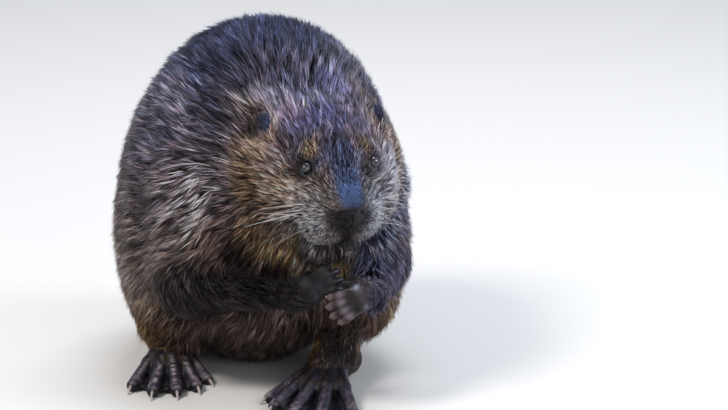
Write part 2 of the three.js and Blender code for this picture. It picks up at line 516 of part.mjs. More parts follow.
// ---------------------------------------------------------------- regions that the body is parted into
const NECK_TILT = Math.atan2(40, 140);
const NA = add(mul(HF, Math.cos(NECK_TILT)), mul(HU, Math.sin(NECK_TILT)));
const NC = add(mul(HF, -Math.sin(NECK_TILT)), mul(HU, Math.cos(NECK_TILT)));
const HEAD_BLOCK = [HEAD_AT, [NA, HL, NC], [-20, -140, -126], [180, 140, 120]];
const NECK_BLOCK = [HEAD_AT, [NA, HL, NC], [-76, -180, -84], [-20, 180, 200]];
const armBlock = (elbow, wrist, back) => {
  const d = unit(sub(wrist, elbow)), s = unit(cross([0, 0, 1], d)), u = cross(d, s);
  return [elbow, [d, s, u], [-back, -36, -42], [len(sub(wrist, elbow)) + 2, 36, 36]];
};
const ARM_RIGHT_BLOCK = armBlock([-104, -108, 122], PAW_RIGHT.wrist, 34);
const ARM_LEFT_BLOCK = armBlock([112, -116, 136], PAW_LEFT.wrist, 34);
// a foot: a wedge that widens from the ankle to the toes, and a block round the heel
function footRegion(F, grow) {
  const t = rad(34), a = add(mul(F.f, Math.cos(t)), [0, 0, -Math.sin(t)]), u = add(mul(F.f, Math.sin(t)), [0, 0, Math.cos(t)]);
  const s = cross(u, a), outline = new THREE.Shape();
  [[-grow, -30 - grow], [20, -36 - grow], [66, -84 - grow], [150, -84 - grow], [150, 84 + grow], [66, 84 + grow], [20, 36 + grow], [-grow, 30 + grow]]
    .forEach(([x, y], n) => (n ? outline.lineTo(x, y) : outline.moveTo(x, y)));
  const g = new THREE.ExtrudeGeometry(outline, { depth: 170, bevelEnabled: false, steps: 1 }).translate(0, 0, -120);
  const m = new THREE.Matrix4().makeBasis(...[a, s, u].map((v) => new THREE.Vector3(...v))).setPosition(...inFoot(F, 62, 0, 24));
  const heel = block(F.heel, [F.f, mul(F.w, F.side), [0, 0, 1]].map((v, n) => (n === 1 ? cross([0, 0, 1], F.f) : v)), [-30, -27, -20], [70, 27, 44], grow);
  return solidOf(g.applyMatrix4(m)).add(heel);
}
// haunches: drums across the body
function drum(side, x, y, z, r, grow = 0) {
  const g = new THREE.CylinderGeometry(r + grow, r + grow, 120 + 2 * grow, 14).rotateZ(Math.PI / 2).translate(x + side * 60, y, z);
  return solidOf(g);
}
const legRegion = (side, grow = 0) => (side < 0 ? drum(-1, -92, -8, 94, 96, grow) : drum(1, 88, -34, 94, 96, grow));

// ---------------------------------------------------------------- make the pieces
const parts = [];
const put = (name, mesh, colour, roughness = 0.85, metalness = 0) => parts.push({ name, mesh, colour, roughness, metalness });

const torsoField = field([...TRUNK, ...ARMS, ...HEAD, ...TAIL, ...LEGS_RIGHT.slice(0, 2), ...LEGS_LEFT.slice(0, 2)]);
let trunk = solid(reduce(surface(torsoField, [-215, -260, -14], [215, 240, 420], 12), 1500));
let head = solid(reduce(surface(torsoField, [-110, -260, 100], [190, -30, 370], 7), 1700));
let armR = solid(reduce(surface(torsoField, [-190, -240, 60], [40, -40, 220], 8), 520));
let armL = solid(reduce(surface(torsoField, [40, -250, 60], [200, -40, 220], 8), 460));
let tail = solid(reduce(surface(torsoField, [-110, 150, -12], [130, 490, 110], 6), 460));
let footR = solid(reduce(surface(field([...TRUNK, ...LEGS_RIGHT]), [-205, -185, -8], [-30, 78, 84], 3.8), 900));
let footL = solid(reduce(surface(field([...TRUNK, ...LEGS_LEFT]), [-70, -290, -8], [135, -50, 84], 3.8), 900));
let legR = solid(reduce(surface(field([...TRUNK, ...ARMS, ...LEGS_RIGHT.slice(0, 2)]), [-215, -140, -12], [-40, 130, 240], 9), 700));
let legL = solid(reduce(surface(field([...TRUNK, ...ARMS, ...LEGS_LEFT.slice(0, 2)]), [40, -170, -12], [215, 110, 240], 9), 700));
let pawR = solid(reduce(surface(field([...forePaw(PAW_RIGHT)]), [-60, -260, 90], [70, -150, 190], 2.4), 520));
let pawL = solid(reduce(surface(field([...forePaw(PAW_LEFT)]), [10, -270, 80], [130, -160, 170], 2.4), 520));

const G = GAP / 2;
const armCut = (b, g) => block(...b, g);
const TAIL_BLOCK = [[0, 0, 0], WORLD, [-150, 214, -40], [150, 520, 200]];

// claws
const clawsOf = [];
for (const [F, label] of [[FOOT_RIGHT, 'right'], [FOOT_LEFT, 'left']]) {
  for (let i = 0; i < 5; i++) {
    const t = toe(F, i), d = unit([t.tip[0] - t.knuckle[0], t.tip[1] - t.knuckle[1], 0]);
    const base = sum(t.tip, mul(d, t.r - 4.5), [0, 0, 0.8]);
    clawsOf.push({ name: `hind_claw_${label}_${i + 1}`, on: `hind_${label}`, args: [base, d, [0, 0, 1], HIND_CLAW.length, HIND_CLAW.radius] });
  }
}
for (const [h, label] of [[PAW_RIGHT, 'right'], [PAW_LEFT, 'left']]) {
  for (let i = 0; i < 4; i++) {
    const f = finger(h, i);
    clawsOf.push({ name: `fore_claw_${label}_${i + 1}`, on: `fore_${label}`, args: [add(f.tip, mul(f.point, f.r - 4.4)), f.point, f.up, FORE_CLAW.length, FORE_CLAW.radius] });
  }
}

// feet
const cutClaws = (s, on) => clawsOf.filter((c) => c.on === on).reduce((m, c) => m.subtract(solid(claw(...c.args, GAP))), s);
footR = cutClaws(footR.intersect(footRegion(FOOT_RIGHT, -G)).subtract(FLOOR_CUT()), 'hind_right');
footL = cutClaws(footL.intersect(footRegion(FOOT_LEFT, -G)).subtract(FLOOR_CUT()), 'hind_left');
put('hind_foot_right', finish(footR), COLOUR.leather, 0.55);
put('hind_foot_left', finish(footL), COLOUR.leather, 0.55);

// haunches
legR = legR.intersect(legRegion(-1, -G)).subtract(footRegion(FOOT_RIGHT, G)).subtract(armCut(ARM_RIGHT_BLOCK, G)).subtract(FLOOR_CUT());
legL = legL.intersect(legRegion(1, -G)).subtract(footRegion(FOOT_LEFT, G)).subtract(armCut(ARM_LEFT_BLOCK, G)).subtract(FLOOR_CUT());
put('hind_leg_right', finish(legR), COLOUR.coatDark);
put('hind_leg_left', finish(legL), COLOUR.coatDark);

// forelegs and forepaws
const pawCutR = armCut([ARM_RIGHT_BLOCK[0], ARM_RIGHT_BLOCK[1], [-200, -60, -60], [len(sub(PAW_RIGHT.wrist, [-104, -108, 122])), 60, 60]], G * 2);
const pawCutL = armCut([ARM_LEFT_BLOCK[0], ARM_LEFT_BLOCK[1], [-200, -60, -60], [len(sub(PAW_LEFT.wrist, [112, -116, 136])), 60, 60]], G * 2);
const armEnd = (b, wrist, elbow) => [b[0], b[1], b[2], [len(sub(wrist, elbow)), b[3][1], b[3][2]]];
armR = armR.intersect(armCut(armEnd(ARM_RIGHT_BLOCK, PAW_RIGHT.wrist, [-104, -108, 122]), -G));
armL = armL.intersect(armCut(armEnd(ARM_LEFT_BLOCK, PAW_LEFT.wrist, [112, -116, 136]), -G));
put('foreleg_right', finish(armR), COLOUR.coatDark);
put('foreleg_left', finish(armL), COLOUR.coatDark);
pawR = cutClaws(pawR.subtract(pawCutR), 'fore_right');
pawL = cutClaws(pawL.subtract(pawCutL), 'fore_left');
for (const c of clawsOf.filter((q) => q.on === 'fore_right')) pawL = pawL.subtract(solid(claw(...c.args, GAP)));
for (const c of clawsOf.filter((q) => q.on === 'fore_left')) pawR = pawR.subtract(solid(claw(...c.args, GAP)));
put('forepaw_right', finish(pawR), COLOUR.paw, 0.6);
put('forepaw_left', finish(pawL), COLOUR.paw, 0.6);
for (const c of clawsOf) put(c.name, claw(...c.args), COLOUR.claw, 0.4);

// head: nose pad, eyes and ears
const NOSE_AT = inHead(NOSE[0] + 11, 0, NOSE[2] - 2), NOSE_R = [15, 17, 12.5];
let nose = solid(reduce(surface(field([...TRUNK, ...HEAD,
  hollow(inHead(118.5, 8.5, -5.5), [5, 3.6, 3.2], 2, HEAD_AXES), hollow(inHead(118.5, -8.5, -5.5), [5, 3.6, 3.2], 2, HEAD_AXES)]),
...(() => { const c = inHead(108, 0, -3); return [add(c, [-30, -30, -30]), add(c, [30, 30, 30])]; })(), 1.9), 420));
nose = nose.intersect(ball(NOSE_AT, HEAD_AXES, NOSE_R, -G));
head = head.intersect(block(...HEAD_BLOCK, -G)).subtract(legRegion(-1, G)).subtract(legRegion(1, G)).subtract(armCut(ARM_RIGHT_BLOCK, G)).subtract(armCut(ARM_LEFT_BLOCK, G))
  .subtract(ball(NOSE_AT, HEAD_AXES, NOSE_R, G));
const eyes = [];
for (const [s, label] of [[-1, 'right'], [1, 'left']]) {
  const at = inHead(EYE[0], s * EYE[1], EYE[2]);
  eyes.push([`eye_${label}`, ball(at, HEAD_AXES, [EYE_RADIUS, EYE_RADIUS, EYE_RADIUS], 0, [12, 8])]);
  head = head.subtract(ball(at, HEAD_AXES, [EYE_RADIUS, EYE_RADIUS, EYE_RADIUS], GAP, [12, 8]));
}
put('nose_pad', finish(nose), COLOUR.nose, 0.35);
for (const [name, e] of eyes) put(name, finish(e), COLOUR.eye, 0.12);
let neck = head;
{
  const back = solid(reduce(surface(torsoField, [-200, -200, 90], [210, 40, 400], 12), 1900));
  neck = back.intersect(block(...NECK_BLOCK, -G)).subtract(legRegion(-1, G)).subtract(legRegion(1, G)).subtract(armCut(ARM_RIGHT_BLOCK, G)).subtract(armCut(ARM_LEFT_BLOCK, G));
}
for (const [s, label] of [[-1, 'right'], [1, 'left']]) {
  const { at, axes } = earFrame(s);
  let ear = solid(reduce(surface(field(earShape(s)), add(at, [-26, -26, -26]), add(at, [26, 26, 26]), 1.9), 230));
  const up = axes[2];
  ear = ear.subtract(head).subtract(head.translate(mul(up, GAP * 1.4))).subtract(neck).subtract(neck.translate(mul(up, GAP * 1.4)));
  put(`ear_${label}`, finish(ear), COLOUR.ear, 0.7);
}
put('head', finish(head), COLOUR.face);
put('neck', finish(neck), COLOUR.coat);

// trunk and tail
tail = tail.intersect(block(...TAIL_BLOCK, -G)).subtract(FLOOR_CUT());
put('tail', finish(tail), COLOUR.tail, 0.5);
trunk = trunk.subtract(block(...TAIL_BLOCK, G)).subtract(legRegion(-1, G)).subtract(legRegion(1, G))
  .subtract(armCut(ARM_RIGHT_BLOCK, G)).subtract(armCut(ARM_LEFT_BLOCK, G))
  .subtract(block(...HEAD_BLOCK, G)).subtract(block(...NECK_BLOCK, G))
  .subtract(footRegion(FOOT_RIGHT, G)).subtract(footRegion(FOOT_LEFT, G)).subtract(FLOOR_CUT());
put('trunk', finish(trunk), COLOUR.coat);

// ---------------------------------------------------------------- the scene graph
const group = new THREE.Group();
group.name = 'beaver';
const box = new THREE.Box3();
for (const { mesh } of parts) for (const p of mesh.pts) box.expandByPoint(new THREE.Vector3(...p));
for (const { name, mesh, colour, roughness, metalness } of parts) {
  const g = new THREE.BufferGeometry();
  g.setAttribute('position', new THREE.BufferAttribute(new Float32Array(mesh.pts.flat()), 3));
  g.setIndex(mesh.tris.flat());
  g.computeVertexNormals();
  const m = new THREE.Mesh(g, new THREE.MeshStandardMaterial({ color: colour, roughness, metalness }));
  m.name = name;
  group.add(m);
}
// origin on the floor below the middle of the whole model
group.position.set(-(box.min.x + box.max.x) / 2, -(box.min.y + box.max.y) / 2, -box.min.z);

export default group;
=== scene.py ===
# A still, life-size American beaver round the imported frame: one skin, a coat of thin solid tufts, eyes, claws, tail scales and whiskers.
# Shape numbers are in millimetres in the part's design frame (+x its left, +y backwards, +z up) and are moved into the row frame at the end.
import time
import bpy
import bmesh
import numpy as np
from math import sin, cos, radians, pi
from mathutils import Matrix, Vector, kdtree


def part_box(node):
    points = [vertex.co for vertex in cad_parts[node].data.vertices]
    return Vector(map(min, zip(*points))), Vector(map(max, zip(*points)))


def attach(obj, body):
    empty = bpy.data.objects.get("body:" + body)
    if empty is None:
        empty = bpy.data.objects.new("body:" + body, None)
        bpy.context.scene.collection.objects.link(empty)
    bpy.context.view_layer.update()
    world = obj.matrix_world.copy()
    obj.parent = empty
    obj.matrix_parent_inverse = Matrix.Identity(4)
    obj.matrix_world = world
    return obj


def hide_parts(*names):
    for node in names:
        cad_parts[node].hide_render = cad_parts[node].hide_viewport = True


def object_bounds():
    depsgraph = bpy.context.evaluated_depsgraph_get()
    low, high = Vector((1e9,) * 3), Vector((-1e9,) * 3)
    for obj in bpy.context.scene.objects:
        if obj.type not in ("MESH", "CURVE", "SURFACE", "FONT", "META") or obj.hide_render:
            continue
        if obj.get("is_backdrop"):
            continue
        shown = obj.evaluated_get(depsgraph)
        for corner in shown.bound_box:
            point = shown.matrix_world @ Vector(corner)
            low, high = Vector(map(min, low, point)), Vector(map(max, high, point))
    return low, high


T0 = time.perf_counter()
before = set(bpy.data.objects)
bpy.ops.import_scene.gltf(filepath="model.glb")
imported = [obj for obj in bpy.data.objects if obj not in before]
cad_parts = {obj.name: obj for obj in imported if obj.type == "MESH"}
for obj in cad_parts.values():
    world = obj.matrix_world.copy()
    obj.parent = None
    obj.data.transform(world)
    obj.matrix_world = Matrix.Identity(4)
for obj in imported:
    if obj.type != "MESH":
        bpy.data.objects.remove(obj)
CAD_BOX = [list(c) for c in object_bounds()]
rng = np.random.default_rng(20)


def V(*a): return np.array(a, float)
def norm(v): return v / np.linalg.norm(v)
def unit(v): return v / (np.linalg.norm(v, axis=1)[:, None] + 1e-9)
def say(*a): print(f"[{time.perf_counter() - T0:6.1f}s]", *a)


# ------------------------------------------------------------------ the shape
HEAD_O = V(45, -117, 278)
YAW, PITCH = 6.0, 22.0
_y, _p = radians(YAW), radians(PITCH)
HF = V(sin(_y) * cos(_p), -cos(_y) * cos(_p), -sin(_p))
HL = V(cos(_y), sin(_y), 0.0)
HU = norm(np.cross(HF, HL))
if HU[2] < 0: HU = -HU
HM = np.stack([HF, HL, HU], 1)
def H(a, b, c): return HEAD_O + a * HF + b * HL + c * HU
def to_head(p): return (p - HEAD_O) @ HM
def foot_frame(heel, yaw_in, side, spread=1.0, reach=1.0):
    a = radians(yaw_in) * side
    return V(*heel), V(-sin(a), -cos(a), 0), V(cos(a), -sin(a), 0) * side, spread, reach
FOOT_R = foot_frame((-105, 36, 0), -7, -1, .84, .96)
FOOT_L = foot_frame((78, -90, 0), 31, 1)
def FT(F, f, w, z): return F[0] + f * F[1] + w * F[2] + V(0, 0, z)

P = []
def ell(c, r, k=30, M=None, tag=""): P.append(("ell", k, V(*c), V(*r), M, tag))
def cone(a, b, ra, rb, k=20, tag=""): P.append(("cone", k, V(*a), V(*b), ra, rb, tag))
def tri(a, b, c, th, k=6, tag=""): P.append(("tri", k, V(*a), V(*b), V(*c), th, tag))
def cut(c, r, k=6, M=None, tag=""): P.append(("cut", k, V(*c), V(*r), M, tag))

EAR = (-5, 69, 29)
EYE = (64, 38, 22)
EYE_R = 6.2
ARM_R = [V(-86, -72, 220), V(-105, -106, 127), V(-6, -190, 129)]
ARM_L = [V(108, -74, 216), V(112, -114, 139), V(83, -207, 130)]
def ear_frame(s):
    up = norm(-.42 * HF - s * .12 * HL + .88 * HU)
    face = norm(-.05 * HF + s * .98 * HL + .06 * HU)
    face = norm(face - up * (face @ up))
    return H(EAR[0] - 2, s * (EAR[1] - 2), EAR[2] - 2), np.stack([face, np.cross(up, face), up], 1)

HAND_R = dict(w=V(-6, -190, 129), c=V(14, -200, 136), d=norm(V(.86, -.02, .50)), n=norm(V(.30, .80, -.40)), s=-1, curl=(.20, .75, 1.20))
HAND_L = dict(w=V(83, -207, 130), c=V(69, -227, 136), d=norm(V(-.88, -.14, -.42)), n=norm(V(-.2, .9, -.3)), s=1, curl=(.15, .65, 1.10))
FINGERS = [(-14, 18, .80, 4.2), (-5, 22, 1., 4.6), (4.4, 23, 1., 4.7), (13.4, 20, .9, 4.4)]
def hand_axes(h):
    d = h["d"]; n = norm(h["n"] - d * (h["n"] @ d)); c = np.cross(d, n)
    return d, n, c
def finger_points(h, i):
    d, n, c = hand_axes(h)
    off, ln, g, r = FINGERS[i]
    spread = off * .012
    k1, k2, k3 = h["curl"]
    d1 = norm(d * cos(k1) + n * sin(k1) + c * spread)
    d2 = norm(d * cos(k2) + n * sin(k2) + c * spread)
    b = h["c"] + d * 10 + c * off * .8
    m = b + d1 * ln * .75
    t = m + d2 * ln * .62
    point = norm(d * cos(k3) + n * sin(k3) + c * spread)
    return b, m, t, r, point
def hand(h):
    d, n, c = hand_axes(h)
    cone(h["w"], h["c"], 14, 12, 12, tag="wrist")
    ell(h["c"] + d * 1, (14.5, 17.5, 10.5), 8, np.stack([d, c, n], 1), tag="hand")
    for i in range(4):
        b, m, t, r, cd = finger_points(h, i)
        cone(b, m, r + .7, r, 3, tag="hand")
        cone(m, t, r, r - .6, 2.5, tag="hand")
    b = h["c"] - d * 2 - c * h["s"] * 14 + n * 4
    t = b + norm(d * .75 - c * h["s"] * .35 + n * .6) * 15
    cone(b, t, 6, 4.4, 5, tag="hand")

TOES = [(-34, 84, 6.4), (-17, 104, 7.2), (-1, 116, 7.7), (15, 118, 7.7), (33, 104, 7.4)]
ANKLE_F, ANKLE_Z = 54, 34
def toe_points(F, i):
    ang, ln, r = TOES[i]
    a, ln = radians(ang * F[3]), ln * F[4]
    return (FT(F, ANKLE_F + 6 * cos(a), 18 * sin(a), 26), FT(F, ANKLE_F + ln * .52 * cos(a), ln * .56 * sin(a), 19),
            FT(F, ANKLE_F + ln * cos(a), ln * sin(a), r - .6), r)
def foot(F):
    cone(FT(F, 2, 0, 20), FT(F, ANKLE_F, 0, ANKLE_Z - 6), 19, 21, 16, tag="sole")
    cone(FT(F, 10, 0, 62), FT(F, ANKLE_F, 0, ANKLE_Z), 24, 18, 18, tag="shin")
    for i in range(5):
        b, m, t, r = toe_points(F, i)
        cone(b, m, 11, r + .8, 8, tag="toe")
        cone(m, t, r + .8, r - .2, 4, tag="toe")
    for i in range(4):
        b0, m0, t0, r0 = toe_points(F, i)
        b1, m1, t1, r1 = toe_points(F, i + 1)
        n0, n1 = m0 + .82 * (t0 - m0), m1 + .82 * (t1 - m1)
        n0[2] = n1[2] = 5
        tri(FT(F, ANKLE_F + 8, 0, 14), n0, n1, 2.4, 5, tag="web")

TAIL_A, TAIL_B = V(0, 170, 0), V(26, 474, 0)
def tail_sizes(t):
    w = 36 + 32 * np.sin(np.clip((t - .12) / .88, 0, 1) ** .85 * pi * .62) ** 1.1
    w = w * np.maximum(np.sqrt(np.clip(1 - np.clip((t - .80) / .20, 0, 1) ** 2, 0, 1)), 1e-3)
    h = 8.5 + 22 * (1 - np.clip(t / .55, 0, 1)) ** 1.5
    h = h * np.maximum(np.sqrt(np.clip(1 - np.clip((t - .9) / .1, 0, 1) ** 2, 0, 1)), .15)
    return w, h

def build_shape():
    ell((-6, 14, 176), (160, 168, 176), tag="barrel")
    ell((8, 18, 261), (128, 130, 134), 60, tag="hump")
    ell((0, 98, 118), (126, 104, 118), 50, tag="rump")
    ell((0, 152, 50), (70, 66, 50), 40, tag="tailroot")
    cone((0, 128, 66), (5, 232, 22), 56, 24, 34, tag="tailbase")
    ell((32, -46, 240), (106, 88, 84), 40, tag="neck")
    ell((10, -76, 162), (94, 62, 94), 40, tag="chest")
    ell((-104, -4, 112), (56, 92, 88), 40, tag="thigh")
    ell((100, -32, 112), (56, 92, 88), 40, tag="thigh")
    cone((-86, -72, 220), (-106, -104, 132), 50, 35, 34, tag="arm")
    cone((-104, -108, 122), (-6, -190, 129), 29, 16, 20, tag="fore")
    cone((108, -74, 216), (112, -112, 142), 46, 34, 34, tag="arm")
    cone((112, -116, 136), (83, -207, 130), 28, 16, 20, tag="fore")
    ell(H(-26, 0, -20), (62, 88, 60), 34, HM, tag="nape")
    ell(H(10, 0, -4), (58, 70, 50), 22, HM, tag="head")
    for s in (-1, 1):
        ell(H(30, s * 38, -28), (52, 44, 48), 24, HM, tag="head")
    cone(H(38, 0, 8), H(92, 0, -5), 36, 25, 20, tag="head")
    ell(H(78, 0, -26), (38, 47, 41), 20, HM, tag="head")
    ell(H(104, 0, -2), (14, 19, 14), 8, HM, tag="nose")
    for s in (-1, 1):
        ell(H(88, s * 22, -34), (25, 26, 29), 10, HM, tag="head")
        ell(H(50, s * 31, 18), (26, 17, 15), 18, HM, tag="head")
        cut(H(EYE[0] + 1, s * (EYE[1] + 5), EYE[2] + 1), (10, 10, 7), 5, HM, tag="socket")
    ell(H(66, 0, -76), (34, 37, 29), 14, HM, tag="head")
    for s in (-1, 1):
        ell(H(30, s * 46, -54), (38, 34, 36), 20, HM, tag="head")
    ell(H(36, 0, -58), (42, 56, 34), 26, HM, tag="head")
    cut((40, -90, 362), (64, 24, 26), 16, tag="crease")
    for s in (-1, 1):
        E, M = ear_frame(s)
        ell(E, (5, 12, 16.5), 5, M, tag="ear")
        cut(E + M[:, 0] * 5.6 + M[:, 2] * 2, (4.8, 8.4, 12), 3, M, tag="earcup")
    for F in (FOOT_R, FOOT_L):
        foot(F)
    hand(HAND_R); hand(HAND_L)
    P.append(("paddle", 20, "tail"))
build_shape()

def d_ell(p, c, r, M=None):
    q = p - c
    if M is not None: q = q @ M
    k0 = np.sqrt(((q / r) ** 2).sum(1))
    k1 = np.sqrt(((q / (r * r)) ** 2).sum(1)) + 1e-9
    return np.where(k0 < 1e-6, -r.min(), k0 * (k0 - 1) / k1)
def d_cone(p, a, b, ra, rb):
    pa, ba = p - a, b - a
    h = np.clip(pa @ ba / (ba @ ba), 0, 1)
    return np.sqrt(((pa - h[:, None] * ba) ** 2).sum(1)) - (ra + (rb - ra) * h)
def d_tri(p, a, b, c, th):
    ba, cb, ac = b - a, c - b, a - c
    pa, pb, pc = p - a, p - b, p - c
    n = np.cross(ba, ac)
    s = np.sign(pa @ np.cross(ba, n)) + np.sign(pb @ np.cross(cb, n)) + np.sign(pc @ np.cross(ac, n))
    def e(pp, v):
        h = np.clip(pp @ v / (v @ v), 0, 1)
        return ((v * h[:, None] - pp) ** 2).sum(1)
    edge = np.minimum(np.minimum(e(pa, ba), e(pb, cb)), e(pc, ac))
    return np.sqrt(np.where(s < 2, edge, (pa @ n) ** 2 / (n @ n))) - th
def d_paddle(p):
    ax = TAIL_B - TAIL_A; L = np.linalg.norm(ax); ax = ax / L
    q = p - TAIL_A
    t = (q @ ax) / L
    x = q @ V(-ax[1], ax[0], 0)
    w, h = tail_sizes(np.clip(t, 0, .999))
    z = p[:, 2] - h * .98
    k0 = np.sqrt((x / w) ** 2 + (z / h) ** 2)
    k1 = np.sqrt((x / w ** 2) ** 2 + (z / h ** 2) ** 2) + 1e-9
    return np.maximum(k0 * (k0 - 1) / k1, np.maximum(t - .999, -t) * L)
def smin(a, b, k):
    h = np.clip(.5 + .5 * (a - b) / k, 0, 1)
    return a + (b - a) * h - k * h * (1 - h)
def smax(a, b, k): return -smin(-a, -b, k)
def sstep(a, b, x):
    t = np.clip((x - a) / (b - a), 0, 1)
    return t * t * (3 - 2 * t)

BARE = {"toe", "web", "hand", "tail", "sole"}
GROUPS = {"head": {"head", "nose", "nape"}, "arm": {"fore", "wrist"}, "upper": {"arm"}, "leg": {"shin"}, "ear": {"ear"}, "tail": {"tail"}, "hand": {"hand"}, "foot": {"toe", "web", "sole"}, "nose": {"nose"}}
def prim(q, p):
    k = q[0]
    if k in ("ell", "cut"): return d_ell(p, q[2], q[3], q[4])
    if k == "cone": return d_cone(p, q[2], q[3], q[4], q[5])
    if k == "tri": return d_tri(p, q[2], q[3], q[4], q[5])
    return d_paddle(p)
def fields(p):
    """Distance to the outline, and to each named group of its shapes."""
    d = None
    g = {n: np.full(len(p), 1e3) for n in GROUPS}
    g["bare"] = np.full(len(p), 1e3)
    for q in P:
        v = prim(q, p)
        if q[0] == "cut": d = smax(d, -v, q[1]); continue
        for n, tags in GROUPS.items():
            if q[-1] in tags: g[n] = np.minimum(g[n], v)
        if q[-1] in BARE: g["bare"] = np.minimum(g["bare"], v)
        d = v if d is None else smin(d, v, q[1])
    return np.maximum(d, -p[:, 2]), g
def coat_depth(p, g):
    """How deep the coat is over the skin, in mm."""
    q = to_head(p)
    D = np.full(len(p), 13.0)
    D += (9 - D) * (1 - sstep(2, 22, g["arm"]))
    D += (6 - D) * (1 - sstep(2, 20, g["leg"]))
    dh = np.interp(q[:, 0], [-70, -20, 30, 58, 78, 92, 104, 113], [12, 10, 8.4, 7.0, 6.0, 5.2, 3.9, 1.6])
    dh = dh + 3.0 * sstep(-40, -85, q[:, 2]) * sstep(105, 70, q[:, 0])
    D += (dh - D) * (1 - sstep(4, 34, g["head"]))
    for s in (-1, 1):
        re = np.linalg.norm(q - V(EYE[0], s * EYE[1], EYE[2]), axis=1)
        D = np.minimum(D, .5 + np.maximum(re - 8, 0) * .38)
    D *= sstep(.5, 24, g["bare"])
    D *= sstep(.5, 9, g["ear"])
    D *= sstep(0, 6, g["nose"])
    return D * sstep(-1, 26, p[:, 2]) ** .5
EYES = []
for s in (-1, 1):
    out = norm(.42 * HF + s * .88 * HL + .22 * HU)
    along = norm(HF - out * (HF @ out)); along = norm(along - .10 * HU)
    along = norm(along - out * (along @ out))
    up = np.cross(out, along); up = up if up @ HU > 0 else -up
    EYES.append((s, H(EYE[0], s * EYE[1], EYE[2]), np.stack([out, along, up], 1)))
def skin_field(p, detail=False):
    F, g = fields(p)
    S = F + coat_depth(p, g)
    if detail:
        for s, c, M in EYES:
            r = np.linalg.norm(p - c, axis=1)
            S = smin(S, r - EYE_R - 1.5, 3.5)
            S = S + .35 * np.sin((r - EYE_R - 1.6) * 2.6) * np.exp(-((r - EYE_R - 3.6) / 2.2) ** 2)
            S = smax(S, -d_ell(p, c + M[:, 0] * 5.8, V(6, 5.7, 4.5), M), 1.0)
            # tear duct corner
            S = smax(S, -d_ell(p, c + M[:, 0] * 4.6 + M[:, 1] * 5.4 - M[:, 2] * .8, V(3, 2.4, 1.1), M), .8)
        for s in (-1, 1):
            # nostril slits, their rims, and the groove below the pad
            S = smin(S, d_ell(p, H(110, s * 12.5, -5), V(6, 5, 8), HM), 4)
            a, b = H(120, s * 10.5, -1.5), H(114, s * 17.5, -8)
            S = smax(S, -d_cone(p, a, b, 2.2, 2.6), 1.6)
        S = smax(S, -d_cone(p, H(119, 0, -8), H(112, 0, -48), 1.3, 2.6), 3)
        for s in (-1, 1):
            S = smax(S, -d_cone(p, H(112, 0, -52), H(96, s * 26, -60), 2.4, 2.0), 4)
    return np.maximum(S, -p[:, 2])

def grid_values(f, lo, hi, h, coarse=4):
    n = np.ceil((np.array(hi) - lo) / h / coarse).astype(int) * coarse + 1
    ax = [lo[i] + h * np.arange(n[i]) for i in range(3)]
    nb = (n - 1) // coarse
    cx = [lo[i] + h * coarse * (np.arange(nb[i]) + .5) for i in range(3)]
    C = np.stack(np.meshgrid(*cx, indexing="ij"), -1).reshape(-1, 3)
    dc = f(C)
    near = np.abs(dc) < h * coarse * 1.7
    vals = np.repeat(np.repeat(np.repeat(dc.reshape(nb), coarse, 0), coarse, 1), coarse, 2)
    vals = np.pad(vals, ((0, 1),) * 3, mode="edge")
    need = np.zeros(n, bool)
    idx = np.argwhere(near.reshape(nb))
    for dx in range(coarse + 1):
        for dy in range(coarse + 1):
            for dz in range(coarse + 1):
                need[idx[:, 0] * coarse + dx, idx[:, 1] * coarse + dy, idx[:, 2] * coarse + dz] = True
    w = np.argwhere(need)
    pts = np.stack([ax[i][w[:, i]] for i in range(3)], 1)
    vals[need] = np.concatenate([f(pts[i:i + 60000]) for i in range(0, len(pts), 60000)])
    return ax, vals

def nets(v, lo, h):
    """A quad surface where the grid of values changes sign."""
    s = v < 0
    n = np.array(v.shape)
    c = [s[i:n[0] - 1 + i, j:n[1] - 1 + j, k:n[2] - 1 + k] for i in (0, 1) for j in (0, 1) for k in (0, 1)]
    tot = sum(x.astype(np.int8) for x in c)
    act = (tot > 0) & (tot < 8)
    cells = np.argwhere(act)
    idx = -np.ones(act.shape, int); idx[act] = np.arange(len(cells))
    acc = np.zeros((len(cells), 3)); cnt = np.zeros(len(cells))
    cor = [(i, j, k) for i in (0, 1) for j in (0, 1) for k in (0, 1)]
    for a in cor:
        for b in cor:
            if sum(b) - sum(a) == 1 and all(y >= x for x, y in zip(a, b)):
                va = v[cells[:, 0] + a[0], cells[:, 1] + a[1], cells[:, 2] + a[2]]
                vb = v[cells[:, 0] + b[0], cells[:, 1] + b[1], cells[:, 2] + b[2]]
                m = (va < 0) != (vb < 0)
                t = np.where(m, va / np.where(va - vb == 0, 1, va - vb), 0)
                pos = np.array(a) + t[:, None] * (np.array(b) - np.array(a))
                acc[m] += pos[m]; cnt[m] += 1
    pts = lo + h * (cells + acc / cnt[:, None])
    quads = []
    for axis in range(3):
        o = [0, 0, 0]; o[axis] = 1
        u, w = [(1, 2), (2, 0), (0, 1)][axis]
        A = s[:n[0] - o[0], :n[1] - o[1], :n[2] - o[2]]
        B = s[o[0]:, o[1]:, o[2]:]
        e = np.argwhere(A != B)
        e = e[(e[:, u] > 0) & (e[:, w] > 0) & (e[:, u] < n[u] - 1) & (e[:, w] < n[w] - 1)]
        flip = B[e[:, 0], e[:, 1], e[:, 2]]
        def at(du, dw):
            g = e.copy(); g[:, u] -= du; g[:, w] -= dw
            return idx[g[:, 0], g[:, 1], g[:, 2]]
        q = np.stack([at(1, 1), at(0, 1), at(0, 0), at(1, 0)], 1)
        q[flip] = q[flip][:, ::-1]
        quads.append(q)
    return pts, np.concatenate(quads)

def gradient(f, p, e=.4):
    f0 = f(p)
    g = np.stack([f(p + V(e, 0, 0)) - f0, f(p + V(0, e, 0)) - f0, f(p + V(0, 0, e)) - f0], 1) / e
    return f0, g

